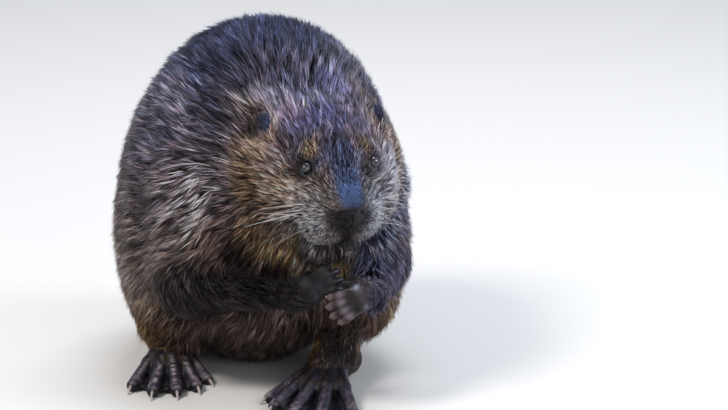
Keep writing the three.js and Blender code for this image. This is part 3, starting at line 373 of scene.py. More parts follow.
STEP = 3.6
LO = V(-205, -275, -10)
ax, GRID = grid_values(skin_field, LO, (205, 490, 420), STEP)
say("grid", GRID.shape)
pts, quads = nets(GRID, LO, STEP)
say("nets", len(pts), len(quads))

def sample(p):
    """Value and unit gradient of the skin's distance by interpolation in the grid."""
    q = (p - LO) / STEP
    n = np.array(GRID.shape)
    i = np.clip(np.floor(q).astype(int), 0, n - 2)
    t = np.clip(q - i, 0, 1)
    x, y, z = i[:, 0], i[:, 1], i[:, 2]
    c = np.stack([GRID[x + a, y + b, z + d] for a in (0, 1) for b in (0, 1) for d in (0, 1)], 1)
    tx, ty, tz = t[:, 0], t[:, 1], t[:, 2]
    def lerp(a, b, u): return a + (b - a) * u
    c00, c01 = lerp(c[:, 0], c[:, 4], tx), lerp(c[:, 1], c[:, 5], tx)
    c10, c11 = lerp(c[:, 2], c[:, 6], tx), lerp(c[:, 3], c[:, 7], tx)
    val = lerp(lerp(c00, c10, ty), lerp(c01, c11, ty), tz)
    gx = lerp(lerp(c[:, 4] - c[:, 0], c[:, 6] - c[:, 2], ty), lerp(c[:, 5] - c[:, 1], c[:, 7] - c[:, 3], ty), tz)
    gy = lerp(c10 - c00, c11 - c01, tz)
    gz = lerp(c01 - c00, c11 - c10, ty)
    return val, unit(np.stack([gx, gy, gz], 1))

# ------------------------------------------------------------------ row frame
_e = [np.array(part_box(n)) for n in ("eye_right", "eye_left")]
SHIFT = np.mean([b.mean(0) for b in _e], 0) * 1000 - H(EYE[0], 0, EYE[2])
SHIFT[2] = 0.0
say("shift", SHIFT)
def row(p): return (np.asarray(p) + SHIFT) / 1000.0

def new_mesh(name, verts, faces, smooth=True):
    """faces is an (n, k) array, or a list of lists."""
    me = bpy.data.meshes.new(name)
    verts = np.asarray(verts, np.float32)
    if isinstance(faces, np.ndarray):
        n, k = faces.shape
        me.vertices.add(len(verts)); me.vertices.foreach_set("co", verts.ravel())
        me.loops.add(n * k); me.loops.foreach_set("vertex_index", faces.astype(np.int32).ravel())
        me.polygons.add(n)
        me.polygons.foreach_set("loop_start", (np.arange(n) * k).astype(np.int32))
        me.update(calc_edges=True)
    else:
        me.from_pydata(verts.tolist(), [], faces)
        me.update()
    me.polygons.foreach_set("use_smooth", np.full(len(me.polygons), smooth))
    ob = bpy.data.objects.new(name, me)
    bpy.context.scene.collection.objects.link(ob)
    return ob
def set_attr(me, name, values, kind="FLOAT"):
    a = me.attributes.new(name, kind, "POINT")
    if kind == "FLOAT": a.data.foreach_set("value", np.asarray(values, np.float32))
    else:
        v = np.ones((len(values), 4), np.float32); v[:, :3] = values
        a.data.foreach_set("color", v.ravel())

def wobble(p, scale, seed):
    """A smooth pseudo-random number in about -1..1 for each point."""
    r = np.random.default_rng(seed)
    s = 0
    for _ in range(5):
        k = norm(r.normal(size=3)) * r.uniform(.7, 1.5) * 2 * pi / scale
        s = s + np.sin(p @ k + r.uniform(0, 6.28))
    return s / 2.6

# ------------------------------------------------------------------ markings, in linear colour
def mix(a, b, t): return a + (b - a) * (t[:, None] if np.ndim(t) else t)
def spot(q, c, r): return np.exp(-(((q - V(*c)) / V(*r)) ** 2).sum(1))
# colour of the hair tips in each region of the coat. Some carry painted light: hollow and shade are painted shade;
# side, bridge and indigo are a painted bluish sky light and reflection; pale is painted light on the lit cheek; the
# blue in hump, shoulder, crown and forehead is partly the coat's own tone and partly a painted sky sheen on the upper
# coat
TIP = {k: V(*v) for k, v in dict(
    hump=(.026, .030, .060), shoulder=(.112, .102, .138), flank=(.098, .080, .090), low=(.200, .155, .135), haunch=(.130, .076, .035),
    belly=(.110, .078, .070), arm=(.022, .019, .023), nape=(.034, .031, .048), shade=(.012, .009, .009), chin=(.190, .175, .195), side=(.135, .148, .270),
    crown=(.148, .144, .204), forehead=(.062, .057, .116), rose=(.300, .200, .200), temple=(.200, .150, .155), cheek=(.148, .110, .088),
    light=(.320, .240, .185), brown=(.170, .105, .060), ochre=(.190, .122, .056), tan=(.520, .330, .230), ginger=(.520, .335, .180),
    hollow=(.028, .022, .020), bridge=(.108, .175, .375), indigo=(.038, .046, .088), pad=(.480, .455, .480), pale=(.265, .240, .300),
).items()}
def mouth_gap(p):
    d = d_cone(p, H(119, 0, -16), H(112, 0, -48), 1.3, 2.4)
    for s in (-1, 1): d = np.minimum(d, d_cone(p, H(112, 0, -52), H(96, s * 26, -60), 2, 1.6))
    return d
def markings(p, n, g):
    """Tip colour of the coat at each place on the body."""
    q = to_head(p)
    x, y, z = p.T
    f, l, u = q.T
    k = lambda name: TIP[name]
    c = np.tile(k("flank"), (len(p), 1))
    # painted light: higher up the coat takes the bluer shoulder and back colours, partly the back's own darker tone and
    # partly a painted sky sheen
    c = mix(c, k("shoulder"), sstep(235, 300, z + 20 * wobble(p, 140, 3)))
    c = mix(c, k("hump"), sstep(300, 372, z + 16 * wobble(p, 120, 7)))
    # painted light: the animal's left flank takes the pale blue side colour, painted sky light on its lit side
    c = mix(c, k("side"), sstep(40, 120, x) * sstep(330, 250, z) * .8)
    behind = sstep(-60, 40, y)
    c = mix(c, k("low"), np.clip((215 + 30 * behind - z - (14 + 10 * behind) * wobble(p, 90, 4)) / (75 + 90 * behind), 0, 1))
    c = mix(c, k("haunch"), sstep(130, 70, z + 10 * wobble(p, 70, 14)))
    # painted shade: dark patches behind the head and in the fold at the neck, the shade colour under the chin, and the
    # very dark right arm; the belly colour on the chest and on downward faces is partly the belly's own fur and partly
    # painted shade; the left arm takes half the side colour, a painted sky light
    c = mix(c, k("nape"), (1 - sstep(24, 75, np.linalg.norm((q - V(-40, -62, 10)) / V(1, 1, 1.1), axis=1))) * .8)
    c = mix(c, k("nape"), (1 - sstep(12, 46, g["head"])) * sstep(250, 300, z) * .75)
    front = sstep(-.1, -.6, n[:, 1])
    c = mix(c, k("belly"), np.clip(sstep(170, 140, z) * sstep(-116, -84, x) * sstep(118, 90, x) * front + sstep(-.35, -.8, n[:, 2]), 0, 1))
    c = mix(c, k("belly"), sstep(235, 195, z) * sstep(-120, -80, x) * sstep(105, 75, x) * front)
    c = mix(c, k("arm"), (1 - sstep(2, 16, g["arm"])) * .9 * sstep(62, 40, x))
    c = mix(c, k("side") * .5, (1 - sstep(2, 16, g["arm"])) * .8 * sstep(60, 84, x))
    c = mix(c, k("shade"), np.clip(1.2 * spot(p, (-42, -168, 142), (74, 50, 30)), 0, 1))
    # head
    k_ = np.tile(k("cheek"), (len(p), 1))
    k_ = mix(k_, k("nape"), sstep(16, -16, f) * sstep(30, 12, u) * .85)
    k_ = mix(k_, k("brown"), np.clip(1.1 * spot(q, (10, -70, -34), (34, 24, 34)) + 1.1 * spot(q, (10, 70, -34), (34, 24, 34)), 0, 1))
    for s in (-1, 1):
        k_ = mix(k_, k("light"), np.clip(1.2 * spot(q, (68, s * 50, -8), (20, 18, 17)), 0, 1) * .85)
        k_ = mix(k_, k("temple"), np.clip(1.2 * spot(q, (32, s * 58, 18), (20, 18, 20)), 0, 1))
    k_ = mix(k_, k("forehead"), sstep(12, 26, u + 3 * wobble(p, 40, 5)) * sstep(66, 30, np.abs(l)))
    k_ = mix(k_, k("crown"), sstep(22, 42, u + 4 * wobble(p, 50, 15)) * sstep(6, -22, f))
    k_ = mix(k_, k("rose"), np.clip(spot(q, (-4, -34, 46), (16, 14, 12)) + spot(q, (0, 34, 44), (14, 12, 12)), 0, 1) * .8)
    # painted reflection: a dark blue band up the nose, sky reflection on the wet fur
    k_ = mix(k_, k("indigo"), np.clip(1.25 * np.exp(-((l - 3) / 15) ** 2) * sstep(40, 66, f) * sstep(-4, 8, u), 0, 1))
    # painted shade: darker hollows round both eyes, a deeper one beside the left eye, and darker patches round the
    # brows
    for s in (-1, 1):
        k_ = mix(k_, k("hollow"), np.clip(1.2 * spot(q, (63, s * 38, 16), (15, 12, 13)), 0, 1))
    k_ = mix(k_, k("hollow"), np.clip(1.3 * spot(q, (76, 32, 20), (17, 12, 15)), 0, 1))
    for s in (-1, 1):
        k_ = mix(k_, k("hollow"), np.clip(spot(q, (52, s * 35, 33), (20, 24, 13)), 0, 1) * .75)
    # painted light: on the animal's left the muzzle pad colour is bluer and lighter, lit by the sky
    for s in (-1, 1):
        k_ = mix(k_, k("ochre"), np.clip(1.25 * spot(q, (53, s * 35, 37), (13, 17, 6.5)), 0, 1))
        k_ = mix(k_, k("pad") if s < 0 else k("pad") * V(1.05, 1.18, 1.40), np.clip(1.3 * spot(q, (98, s * 31, -30), (23, 18, 30)), 0, 1))
        k_ = mix(k_, k("tan"), np.clip(1.25 * spot(q, (19, s * 76, 10), (14, 14, 12)), 0, 1))
    k_ = mix(k_, V(.085, .090, .140), np.clip(1.2 * spot(q, (104, 2, -58), (22, 19, 20)), 0, 1) * .75)
    # painted shade: a darker band round the lower edge of the nose pad
    ring_ = np.linalg.norm((q - V(113, 0, -12)) / V(15, 20, 17), axis=1)
    k_ = mix(k_, k("hollow") * V(1.2, 1.2, 1.5), (1 - sstep(1.05, 1.45, ring_)) * sstep(6, -4, u) * .8)
    # painted shade: a second dark hollow beside the left eye
    k_ = mix(k_, k("hollow"), np.clip(1.1 * spot(q, (66, 43, 15), (13, 10, 10)), 0, 1) * .8)
    # painted reflection: the blue on the bridge of the nose is sky reflection on wet short fur
    k_ = mix(k_, k("bridge"), np.clip(1.2 * np.exp(-((l - 1) / 11.5) ** 4) * np.exp(-((f - 106) / 13) ** 2) * sstep(0, 8, u), 0, 1))
    k_ = mix(k_, k("ginger"), sstep(-52, -78, u + 5 * wobble(p, 40, 6)) * sstep(112, 98, f) * .9 * sstep(34, 8, l))
    # painted light: on the animal's left the jowl takes the side colour and the cheek the pale colour, sky light on the
    # lit side
    k_ = mix(k_, k("side"), sstep(-40, -66, u + 5 * wobble(p, 40, 6)) * sstep(24, 46, l) * .85)
    k_ = mix(k_, k("pale"), np.clip(1.2 * spot(q, (52, 62, -10), (34, 26, 34)), 0, 1) * .85)
    # the lip, the groove below the nose and the chin
    k_ = mix(k_, k("chin"), sstep(-50, -58, u) * sstep(-112, -96, u) * sstep(58, 74, f) * sstep(40, 26, np.abs(l)) * .9)
    lip = mouth_gap(p)
    # painted shade in the groove below the nose and along the mouth
    k_ = mix(k_, k("hollow"), np.clip(1.1 * np.exp(-((l - 2) / 8) ** 2) * sstep(-20, -30, u) * sstep(84, 98, f), 0, 1) * .85)
    k_ = mix(k_, k("hollow"), (1 - sstep(1.5, 6, lip)) * .45)
    # the underside of the head takes the belly colour, partly the fur's own and partly painted shade
    under = sstep(-.55, -.9, n @ HU) * sstep(-80, -92, u)
    k_ = mix(k_, k("belly"), under * .9)
    c = mix(c, k_, 1 - sstep(4, 20, g["head"]))
    # shade in the fold between cheek and flank and down the far shin, a sheen beside the chin
    c = c * (1 - .84 * np.clip(1.25 * spot(p, (-46, -150, 180), (25, 38, 23)), 0, 1))[:, None]
    c = c * (1 - .42 * np.clip(spot(p, (-63, -138, 232), (16, 30, 17)), 0, 1))[:, None]
    c = c * (1 - .76 * np.clip(1.3 * spot(p, (68, -136, 52), (33, 38, 42)), 0, 1))[:, None]
    c = c * (1 + V(2.2, 2.4, 2.6) * np.clip(spot(p, (92, -160, 166), (16, 26, 15)), 0, 1)[:, None])
    c = mix(c, V(.038, .044, .092), 1 - sstep(0, 2.2, g["ear"]))
    return c

# ------------------------------------------------------------------ skin
def refine(pts, quads):
    me = bpy.data.meshes.new("tmp")
    me.from_pydata(pts.tolist(), [], quads.tolist())
    bm = bmesh.new(); bm.from_mesh(me)
    def split(pick):
        fs = [f for f in bm.faces if pick[f.index]]
        es = dict.fromkeys(e for f in fs for e in f.edges)
        bmesh.ops.subdivide_edges(bm, edges=list(es), cuts=1, use_grid_fill=True)
        bm.faces.ensure_lookup_table(); bm.faces.index_update(); bm.verts.index_update()
    def centres(): return np.array([f.calc_center_median()[:] for f in bm.faces])
    c = centres(); F, g = fields(c); q = to_head(c)
    pick = (g["hand"] < 1.2) | ((g["foot"] < 1.0) & (c[:, 2] > 2.5)) | (g["ear"] < 1.2)
    for s in (-1, 1): pick |= np.linalg.norm(q - V(EYE[0], s * EYE[1], EYE[2]), axis=1) < 17
    pick |= (np.linalg.norm((q - V(112, 0, -16)) / V(22, 26, 40), axis=1) < 1)
    split(pick)
    c = centres(); F, g = fields(c); q = to_head(c)
    fine = (g["hand"] < .8) & (g["arm"] > -1)
    for s in (-1, 1):
        fine |= np.linalg.norm(q - V(EYE[0], s * EYE[1], EYE[2]), axis=1) < 12.5
    fine |= np.linalg.norm((q - V(113, 0, -8)) / V(13, 21, 16), axis=1) < 1
    split(fine)
    c = centres(); q = to_head(c)
    fine = np.zeros(len(c), bool)
    for s in (-1, 1):
        fine |= np.linalg.norm(q - V(EYE[0] + 1, s * (EYE[1] + 2), EYE[2]), axis=1) < 9.5
    split(fine)
    v = np.array([w.co[:] for w in bm.verts])
    bmesh.ops.triangulate(bm, faces=[f for f in bm.faces if len(f.verts) > 4])
    bm.to_mesh(me)
    bm.free()
    return v, me

sv, me0 = refine(pts, quads)
say("refined", len(sv), len(me0.polygons))
_, G = fields(sv)
DEPTH = coat_depth(sv, G)
tight = (DEPTH < 7)
def settle(v, rounds):
    for _ in range(rounds):
        d, gr = gradient(lambda p: skin_field(p, True), v)
        L2 = (gr ** 2).sum(1)[:, None] + 1e-6
        v = v - np.clip(d[:, None] / L2, -2.5, 2.5) * gr * .9
    return v
sv[tight] = settle(sv[tight], 3)
low = sv[:, 2] < 0.35
sv[low, 2] = 0.0
say("settled", tight.sum())
sq = to_head(sv)
_, G = fields(sv)
DEPTH = coat_depth(sv, G)

me0.vertices.foreach_set("co", row(sv).astype(np.float32).ravel())
me0.update()
me0.name = "skin"
me0.polygons.foreach_set("use_smooth", np.full(len(me0.polygons), True))
skin = bpy.data.objects.new("skin", me0)
bpy.context.scene.collection.objects.link(skin)
sn = np.zeros(len(sv) * 3, np.float32); me0.vertices.foreach_get("normal", sn); sn = sn.reshape(-1, 3).astype(float)

# which parts stay bare
def nose_pad(q): return 1 - sstep(.90, 1.10, np.linalg.norm((q - V(114, -1, -11)) / V(13, 18.5, 15.5), axis=1))
def eye_near(p): return np.min([np.linalg.norm(p - c, axis=1) for _, c, _ in EYES], 0)
def hand_way(p):
    """How far along either hand from the wrist, in mm."""
    out = np.full(len(p), 1e3)
    for h in (HAND_R, HAND_L):
        d, n, c = hand_axes(h)
        near = np.linalg.norm(p - h["c"], axis=1) < 60
        out = np.where(near, np.minimum(out, (p - h["w"]) @ d), out)
    return out
def foot_way(p):
    """How far along either foot from the heel, in mm."""
    out = np.full(len(p), -1e3)
    for F in (FOOT_R, FOOT_L):
        q = p - F[0]
        near = (np.abs(q @ F[2]) < 100) & (q @ F[1] > -60) & (q @ F[1] < 190)
        out = np.where(near, np.maximum(out, q @ F[1]), out)
    return out
def tail_t(p):
    ax = TAIL_B - TAIL_A
    return ((p - TAIL_A) @ ax) / (ax @ ax)
def cover(p, g):
    """1 where hair grows."""
    q = to_head(p)
    c = sstep(1.2, 2.4, p[:, 2])
    c = c * (1 - nose_pad(q)) * sstep(7.9, 8.6, eye_near(p)) * sstep(.2, 1.0, mouth_gap(p))
    hand_bare = (1 - sstep(2.0, 4.0, g["hand"])) * sstep(6, 15, hand_way(p) + 2 * wobble(p, 12, 40))
    foot_bare = (1 - sstep(2.0, 4.5, g["foot"])) * sstep(36, 52, foot_way(p) + 5 * wobble(p, 14, 42))
    tail_bare = (1 - sstep(-.5, 2, g["tail"])) * sstep(.10, .17, tail_t(p) + .01 * wobble(p, 20, 41))
    return c * (1 - hand_bare) * (1 - foot_bare) * (1 - tail_bare)
COVER = cover(sv, G)

tipc = markings(sv, sn, G)
col = tipc * np.interp(DEPTH, [.4, 3, 9], [.42, .16, .07])[:, None]
bare = 1 - sstep(.3, .9, COVER)
tailc = np.tile(V(.020, .019, .022), (len(sv), 1))
col = mix(col, tailc, (1 - sstep(0, 3, G["tail"])) * sstep(.08, .15, tail_t(sv)))
footc = np.tile(V(.008, .0075, .011), (len(sv), 1)) * (1 + .35 * wobble(sv, 14, 50))[:, None]
for F in (FOOT_R, FOOT_L):
    for i in range(5):
        b, m, t, r = toe_points(F, i)
        along = np.clip((sv - m) @ (t - m) / ((t - m) @ (t - m)), 0, 1)
        dt = np.minimum(d_cone(sv, m, t, r, r), d_cone(sv, b, m, 10, r))
        # painted highlight: the upper faces of the toes are lighter, and their tips paler pink, partly the toes' own
        # colour
        on = (1 - sstep(-1.2, 1.6, dt)) * sstep(.2, .8, sn[:, 2])
        footc = mix(footc, V(.032, .028, .052), on * .75)
        near_t = np.exp(-(np.linalg.norm(sv - t, axis=1) / 11) ** 2) + .7 * np.exp(-(np.linalg.norm(sv - (m * .55 + t * .45), axis=1) / 8) ** 2)
        footc = mix(footc, V(.42, .33, .35), np.clip(near_t, 0, 1) * on * np.clip(.34 + .42 * wobble(sv, 9, 51 + i), 0, 1))
    # painted highlight: bright wet streaks along the top of each toe, much fainter on the left foot
    for i in range(5):
        b, m, t, r = toe_points(F, i)
        al = np.clip((sv - m) @ (t - m) / ((t - m) @ (t - m)), -.4, 1)
        line = m + (t - m) * al[:, None] + V(0, 0, r) + F[2] * (1.6 if i < 3 else -1.2)
        dl = np.linalg.norm(sv - line, axis=1)
        toe_highlight = np.exp(-(dl / 2.4) ** 2) * sstep(-.35, .1, al) * sstep(1.0, .8, al) * np.clip(.55 + .8 * wobble(sv, 7, 61 + i), 0, 1)
        footc = mix(footc, V(.62, .50, .52), np.clip(toe_highlight * (.75 if F is FOOT_R else .16), 0, 1))
    # painted highlight: a bluish sheen on the ankle, brighter on the right foot
    ankle_highlight = np.exp(-(np.linalg.norm(sv - FT(F, ANKLE_F, 0, ANKLE_Z + 8), axis=1) / 22) ** 2)
    footc = mix(footc, V(.020, .026, .060) if F is FOOT_L else V(.060, .070, .150), ankle_highlight * (.9 if F is FOOT_L else .4))
col = mix(col, footc, 1 - sstep(0, 4, G["foot"]))
# painted shade: the right hand's skin is much darker than the left's
handc = np.where((sv[:, 0] > 42)[:, None], V(.013, .011, .013), V(.0035, .003, .004)) * (1 + .35 * wobble(sv, 8, 52))[:, None]
for h in (HAND_R, HAND_L):
    d, n, c = hand_axes(h)
    for i in range(4):
        b, m, t, r, cd = finger_points(h, i)
        # painted highlights on the knuckles and finger ridges, and fingertips partly their own pale pink and partly
        # painted highlight, nearly all on the lit left hand
        knuckle_highlight = np.exp(-(np.linalg.norm(sv - (b - d * 7 - n * r * 1.6), axis=1) / 3.6) ** 2)
        finger_ridge_highlight = np.exp(-(np.linalg.norm(sv - (m - n * r), axis=1) / 5.0) ** 2)
        hand_lit = 1.0 if h is HAND_L else .10
        handc = mix(handc, V(.30, .32, .46), np.clip(knuckle_highlight * 1.1, 0, 1) * .7 * hand_lit)
        handc = mix(handc, V(.17, .135, .155), finger_ridge_highlight * .7 * hand_lit)
        ft = np.exp(-(np.linalg.norm(sv - t, axis=1) / 6.0) ** 2)
        handc = mix(handc, V(.21, .145, .150), ft * .7 * hand_lit)
    # painted shade in the grooves between the fingers
    finger_gap_shade = np.full(len(sv), 1e3)
    for i in range(3):
        b0, m0, t0_, r0, _ = finger_points(h, i); b1, m1, t1_, r1, _ = finger_points(h, i + 1)
        finger_gap_shade = np.minimum(finger_gap_shade, d_cone(sv, (b0 + b1) / 2 - d * 3 - n * 3, (m0 + m1) / 2 - n * 2, 2, 1.2))
    handc = mix(handc, V(.008, .007, .009), (1 - sstep(-.5, 1.6, finger_gap_shade)) * .8)
col = mix(col, handc, 1 - sstep(0, 4, G["hand"]))
earc = np.tile(V(.020, .022, .034), (len(sv), 1))
col = mix(col, earc, 1 - sstep(0, 2.5, G["ear"]))
nose = nose_pad(sq)
col = mix(col, V(.0018, .0018, .0030), nose)
lid = np.zeros(len(sv))
for s, c, M in EYES:
    r = np.linalg.norm(sv - c, axis=1)
    lid = np.maximum(lid, 1 - sstep(8.0, 10.5, r))
    # painted reflection: a blue-grey rim round each eye, brightest on the lower lid
    under_ = sstep(.1, -.5, ((sv - c) @ M[:, 2]) / np.maximum(r, 1e-3))
    col = mix(col, V(.016, .014, .018), (1 - sstep(8.6, 10.5, r)) * .95)
    col = mix(col, V(.065, .070, .105), np.exp(-((r - 8.4) / .8) ** 2) * (.25 + .6 * under_))
    col = mix(col, V(.006, .005, .006), 1 - sstep(6.5, 7.6, r))
# painted shade along the mouth groove
gap_ = mouth_gap(sv)
col = mix(col, V(.007, .005, .006), 1 - sstep(0, 2.5, gap_))

set_attr(me0, "tint", np.clip(col, .001, .9), "FLOAT_COLOR")
set_attr(me0, "wet", np.clip(nose * .95 + lid * .7 + (1 - sstep(0, 3, G["hand"])) * np.where(sv[:, 0] > 42, .9, .05) + (1 - sstep(0, 3, G["foot"])) * .8, 0, 1))
set_attr(me0, "hide", np.clip((1 - sstep(0, 3, G["foot"])) + (1 - sstep(0, 3, G["hand"])) * .45 + nose * .5 + (1 - sstep(0, 2, G["ear"])) * .3, 0, 1))
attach(skin, "root")
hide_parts("trunk", "neck", "head", "nose_pad", "ear_left", "ear_right", "foreleg_left", "foreleg_right", "forepaw_left", "forepaw_right",
            "hind_leg_left", "hind_leg_right", "hind_foot_left", "hind_foot_right", "tail")

# ------------------------------------------------------------------ lie of the coat
SOURCE = H(100, 0, -14)
def toward(p, a, b): return np.tile(norm(b - a), (len(p), 1))
def lie(p, n, g):
    q = to_head(p)
    d = unit(p - SOURCE)
    z = p[:, 2]
    low = sstep(250, 90, z)[:, None]
    d = unit(d * (1 - .45 * low) + V(0, .30, 0) + V(0, .1, -1.0) * low * .8)
    d = unit(d + V(0, .1, -1.0) * (1.3 * sstep(-40, 80, p[:, 1]))[:, None])
    head = (1 - sstep(4, 30, g["head"]))
    jowl = head * sstep(-8, -66, q[:, 2])
    hd = unit(p - H(112, 0, -4))
    hd = unit(hd - HF * .35)
    # brows and forehead sweep up, cheeks sweep back and a little down
    brow = head * sstep(14, 30, q[:, 2]) * sstep(20, 40, q[:, 0])
    hd = unit(hd + HU * brow[:, None] * .9)
    d = unit(mix(d, hd, head))
    d = unit(mix(d, unit(d * .8 + V(0, 0, -1)), jowl * .9))
    for s, c, M in EYES:
        w = p - c; r = np.linalg.norm(w, axis=1)
        d = unit(d + unit(w) * (1.6 * np.exp(-((r - 6) / 7) ** 2))[:, None])
    for A, s in ((ARM_R, -1), (ARM_L, 1)):
        w = 1 - sstep(0, 18, d_cone(p, A[1], A[2], 26, 17))
        d = unit(mix(d, unit(toward(p, A[1], A[2]) + V(0, 0, -.25 if s < 0 else -1.3)), w * .85))
        w = (1 - sstep(0, 16, d_cone(p, A[0], A[1], 46, 32))) * (1 - head) * .45
        d = unit(mix(d, unit(toward(p, A[0], A[1]) + V(s * .3, .3, 0)), w))
    for F in (FOOT_R, FOOT_L):
        w = 1 - sstep(0, 20, d_cone(p, FT(F, 10, 0, 62), FT(F, ANKLE_F, 0, ANKLE_Z), 24, 18))
        d = unit(mix(d, unit(np.tile(F[1] * .9 + V(0, 0, -.6), (len(p), 1))), w))
        w = 1 - sstep(0, 6, g["foot"])
        d = unit(mix(d, np.tile(F[1], (len(p), 1)), w))
    w = 1 - sstep(0, 30, g["tail"])
    d = unit(mix(d, np.tile(V(.05, 1, -.15), (len(p), 1)), w))
    for s in (-1, 1):
        E, M = ear_frame(s)
        w = (1 - sstep(.5, 3, g["ear"])) * (((p - E) @ HL * s) > -14)
        d = unit(mix(d, np.tile(M[:, 2], (len(p), 1)), w * .95))
    for k, (sc, am) in enumerate(((130, .20), (46, .16), (19, .13))):
        d = d + am * np.stack([wobble(p, sc, 30 + 3 * k + j) for j in range(3)], 1) * (1 - .45 * head)[:, None]
    d = d - n * (d * n).sum(1)[:, None]
    return unit(d)

def coat_length(p, g):
    """Length of the hair, in mm."""
    q = to_head(p); f, l, u = q.T
    L = np.full(len(p), 31.0)
    L += (25 - L) * (1 - sstep(2, 22, g["arm"]))
    L += (19 - L) * (1 - sstep(2, 20, g["leg"]))
    Lh = np.interp(f, [-70, -20, 30, 58, 78, 92, 104, 114], [30, 27, 23, 19, 16.5, 14.5, 11, 6.0])
    Lh = Lh + 10 * sstep(-50, -90, u) * sstep(104, 74, f)
    mid_line = np.exp(-((l - 1) / 15) ** 4) * sstep(58, 84, f) * sstep(-8, 4, u)
    Lh = Lh * (1 - .42 * mid_line)
    L += (Lh - L) * (1 - sstep(4, 34, g["head"]))
    L = L + 2.0 * np.clip(spot(q, (50, -36, 36), (14, 16, 8)) + spot(q, (50, 36, 36), (14, 16, 8)), 0, 1)
    L = np.where(g["ear"] < 1.0, np.minimum(L, 4.4), np.minimum(L, 7.5 + np.maximum(g["ear"], 0) * 1.6))
    L = np.minimum(L, 4.5 + np.maximum(g["bare"], 0) * 1.1)
    return np.minimum(L, 2.4 + np.maximum(eye_near(p) - 7.8, 0) * .85)

# ------------------------------------------------------------------ where tufts grow
def scatter(tris, space, mask, seed, over=3.0):
    """Evenly spread roots on the skin's triangles, one to each small cell; space and mask are per vertex."""
    r = np.random.default_rng(seed)
    a, b, c = sv[tris[:, 0]], sv[tris[:, 1]], sv[tris[:, 2]]
    area = np.linalg.norm(np.cross(b - a, c - a), axis=1) / 2
    st, mk = space[tris].mean(1), mask[tris].mean(1)
    want = area * np.where(mk > .02, mk, 0) / st ** 2 * over
    n = np.floor(want + r.random(len(want))).astype(int)
    t = np.repeat(np.arange(len(tris)), n)
    u, w = r.random(len(t)), r.random(len(t))
    f = u + w > 1; u[f] = 1 - u[f]; w[f] = 1 - w[f]
    pos = a[t] + u[:, None] * (b - a)[t] + w[:, None] * (c - a)[t]
    lev = np.round(np.log2(st[t]) * 5)
    cell = 2 ** (lev / 5)
    order = r.permutation(len(pos))
    pos, lev, cell = pos[order], lev[order], cell[order]
    k = np.floor(pos / cell[:, None]).astype(np.int64) + 1000
    key = ((lev.astype(np.int64) + 40) * 3000 + k[:, 0]) * 9000000 + k[:, 1] * 3000 + k[:, 2]
    _, first = np.unique(key, return_index=True)
    return pos[np.sort(first)]

me0.calc_loop_triangles()
tri_idx = np.zeros(len(me0.loop_triangles) * 3, np.int32)
me0.loop_triangles.foreach_get("vertices", tri_idx); tri_idx = tri_idx.reshape(-1, 3)
say("skin triangles", len(tri_idx))

MAX_TUFTS = 246000
head_v = 1 - sstep(4, 26, G["head"])
face_v = head_v * sstep(40, 85, sq[:, 0])
SPACE = (1.54 - .37 * head_v - .18 * face_v) * 1.0
SPACE = np.where(G["ear"] < 1.5, .95, SPACE)
# the hidden back is a little sparser than what is seen most
SPACE = SPACE * (1 + .18 * sstep(60, 150, sv[:, 1]))
roots = scatter(tri_idx, SPACE, COVER, 5)
say("roots", len(roots))
if len(roots) > MAX_TUFTS: roots = roots[np.sort(rng.permutation(len(roots))[:MAX_TUFTS])]

val, rn = sample(roots)
RF, RG = fields(roots)
RD = coat_depth(roots, RG)
flow = lie(roots, rn, RG)
rq = to_head(roots)
LN = coat_length(roots, RG)
say("lie")

def clump(points, radius, seed, along=None, stretch=1.0):
    """Seeds about a radius apart, and each point's own: the nearest one, or along a direction the nearest on a stretched scale."""
    r = np.random.default_rng(seed)
    order = r.permutation(len(points))
    key = np.floor(points[order] / radius).astype(np.int64) + 500
    _, first = np.unique((key[:, 0] * 1200 + key[:, 1]) * 1200 + key[:, 2], return_index=True)
    seeds = order[first]
    st = kdtree.KDTree(len(seeds))
    for k, i in enumerate(seeds.tolist()): st.insert(points[i].tolist(), k)
    st.balance()
    if along is None: return seeds, np.array([st.find(x)[1] for x in points.tolist()])
    K = 7
    near = np.array([[h[1] for h in st.find_n(x, K)] for x in points.tolist()])
    w = points[:, None, :] - points[seeds][near]
    a = (w * along[seeds][near]).sum(2)
    d2 = (w ** 2).sum(2) - a ** 2 * (1 - 1 / stretch ** 2)
    return seeds, near[np.arange(len(points)), d2.argmin(1)]
on_head = 1 - sstep(4, 26, RG["head"])
face = on_head * sstep(30, 80, rq[:, 0])
# locks: the space is stretched so that locks are smaller where the hair is shorter
seeds, lock = clump(roots * np.interp(LN, [3, 10, 31], [2.4, 1.45, 1.0])[:, None], 4.9, 8, flow, 2.6)
big, bunch = clump(roots, 17.0, 9, flow, 2.2)
say("locks", len(seeds), len(big))

N = len(roots)
r1, r2, r3, r4 = (rng.random(N) for _ in range(4))
guard = r2 > .93
stray = (r2 < .05) & (LN > 8)
lock_r = rng.random(len(seeds))[lock]
bunch_r = rng.random(len(big))[bunch]
across = np.cross(flow, rn)
off = roots - roots[seeds][lock]
lat = (off * across).sum(1)
alo = (off * flow).sum(1)
half = 1.9 / np.interp(LN, [3, 10, 31], [2.3, 1.4, 1.0])
# the wet coat parts into broad locks as well as fine ones, most of all on the flanks
boff = roots - roots[big][bunch]
blat = np.clip((boff * across).sum(1), -9, 9)
broad = np.clip(.35 + .65 * sstep(330, 280, roots[:, 2]) * sstep(90, 130, roots[:, 2]), 0, 1) * (1 - .8 * on_head)
seam = np.clip(np.abs(blat) / 7, 0, 1) * broad
crease = np.clip(np.abs(lat) / half, 0, 1.2)
L = LN * (.62 + .42 * r1) * (.84 + .34 * lock_r) * np.where(guard, 1.2, 1.0) * np.where(stray, 1.12, 1.0)
W = np.interp(LN, [3, 8, 16, 31], [.52, .66, .80, .92]) * (.70 + .60 * r3) * (1 - .06 * on_head)
W = np.where(guard, W * .85, W)
W = np.where(stray, W * .55, W)
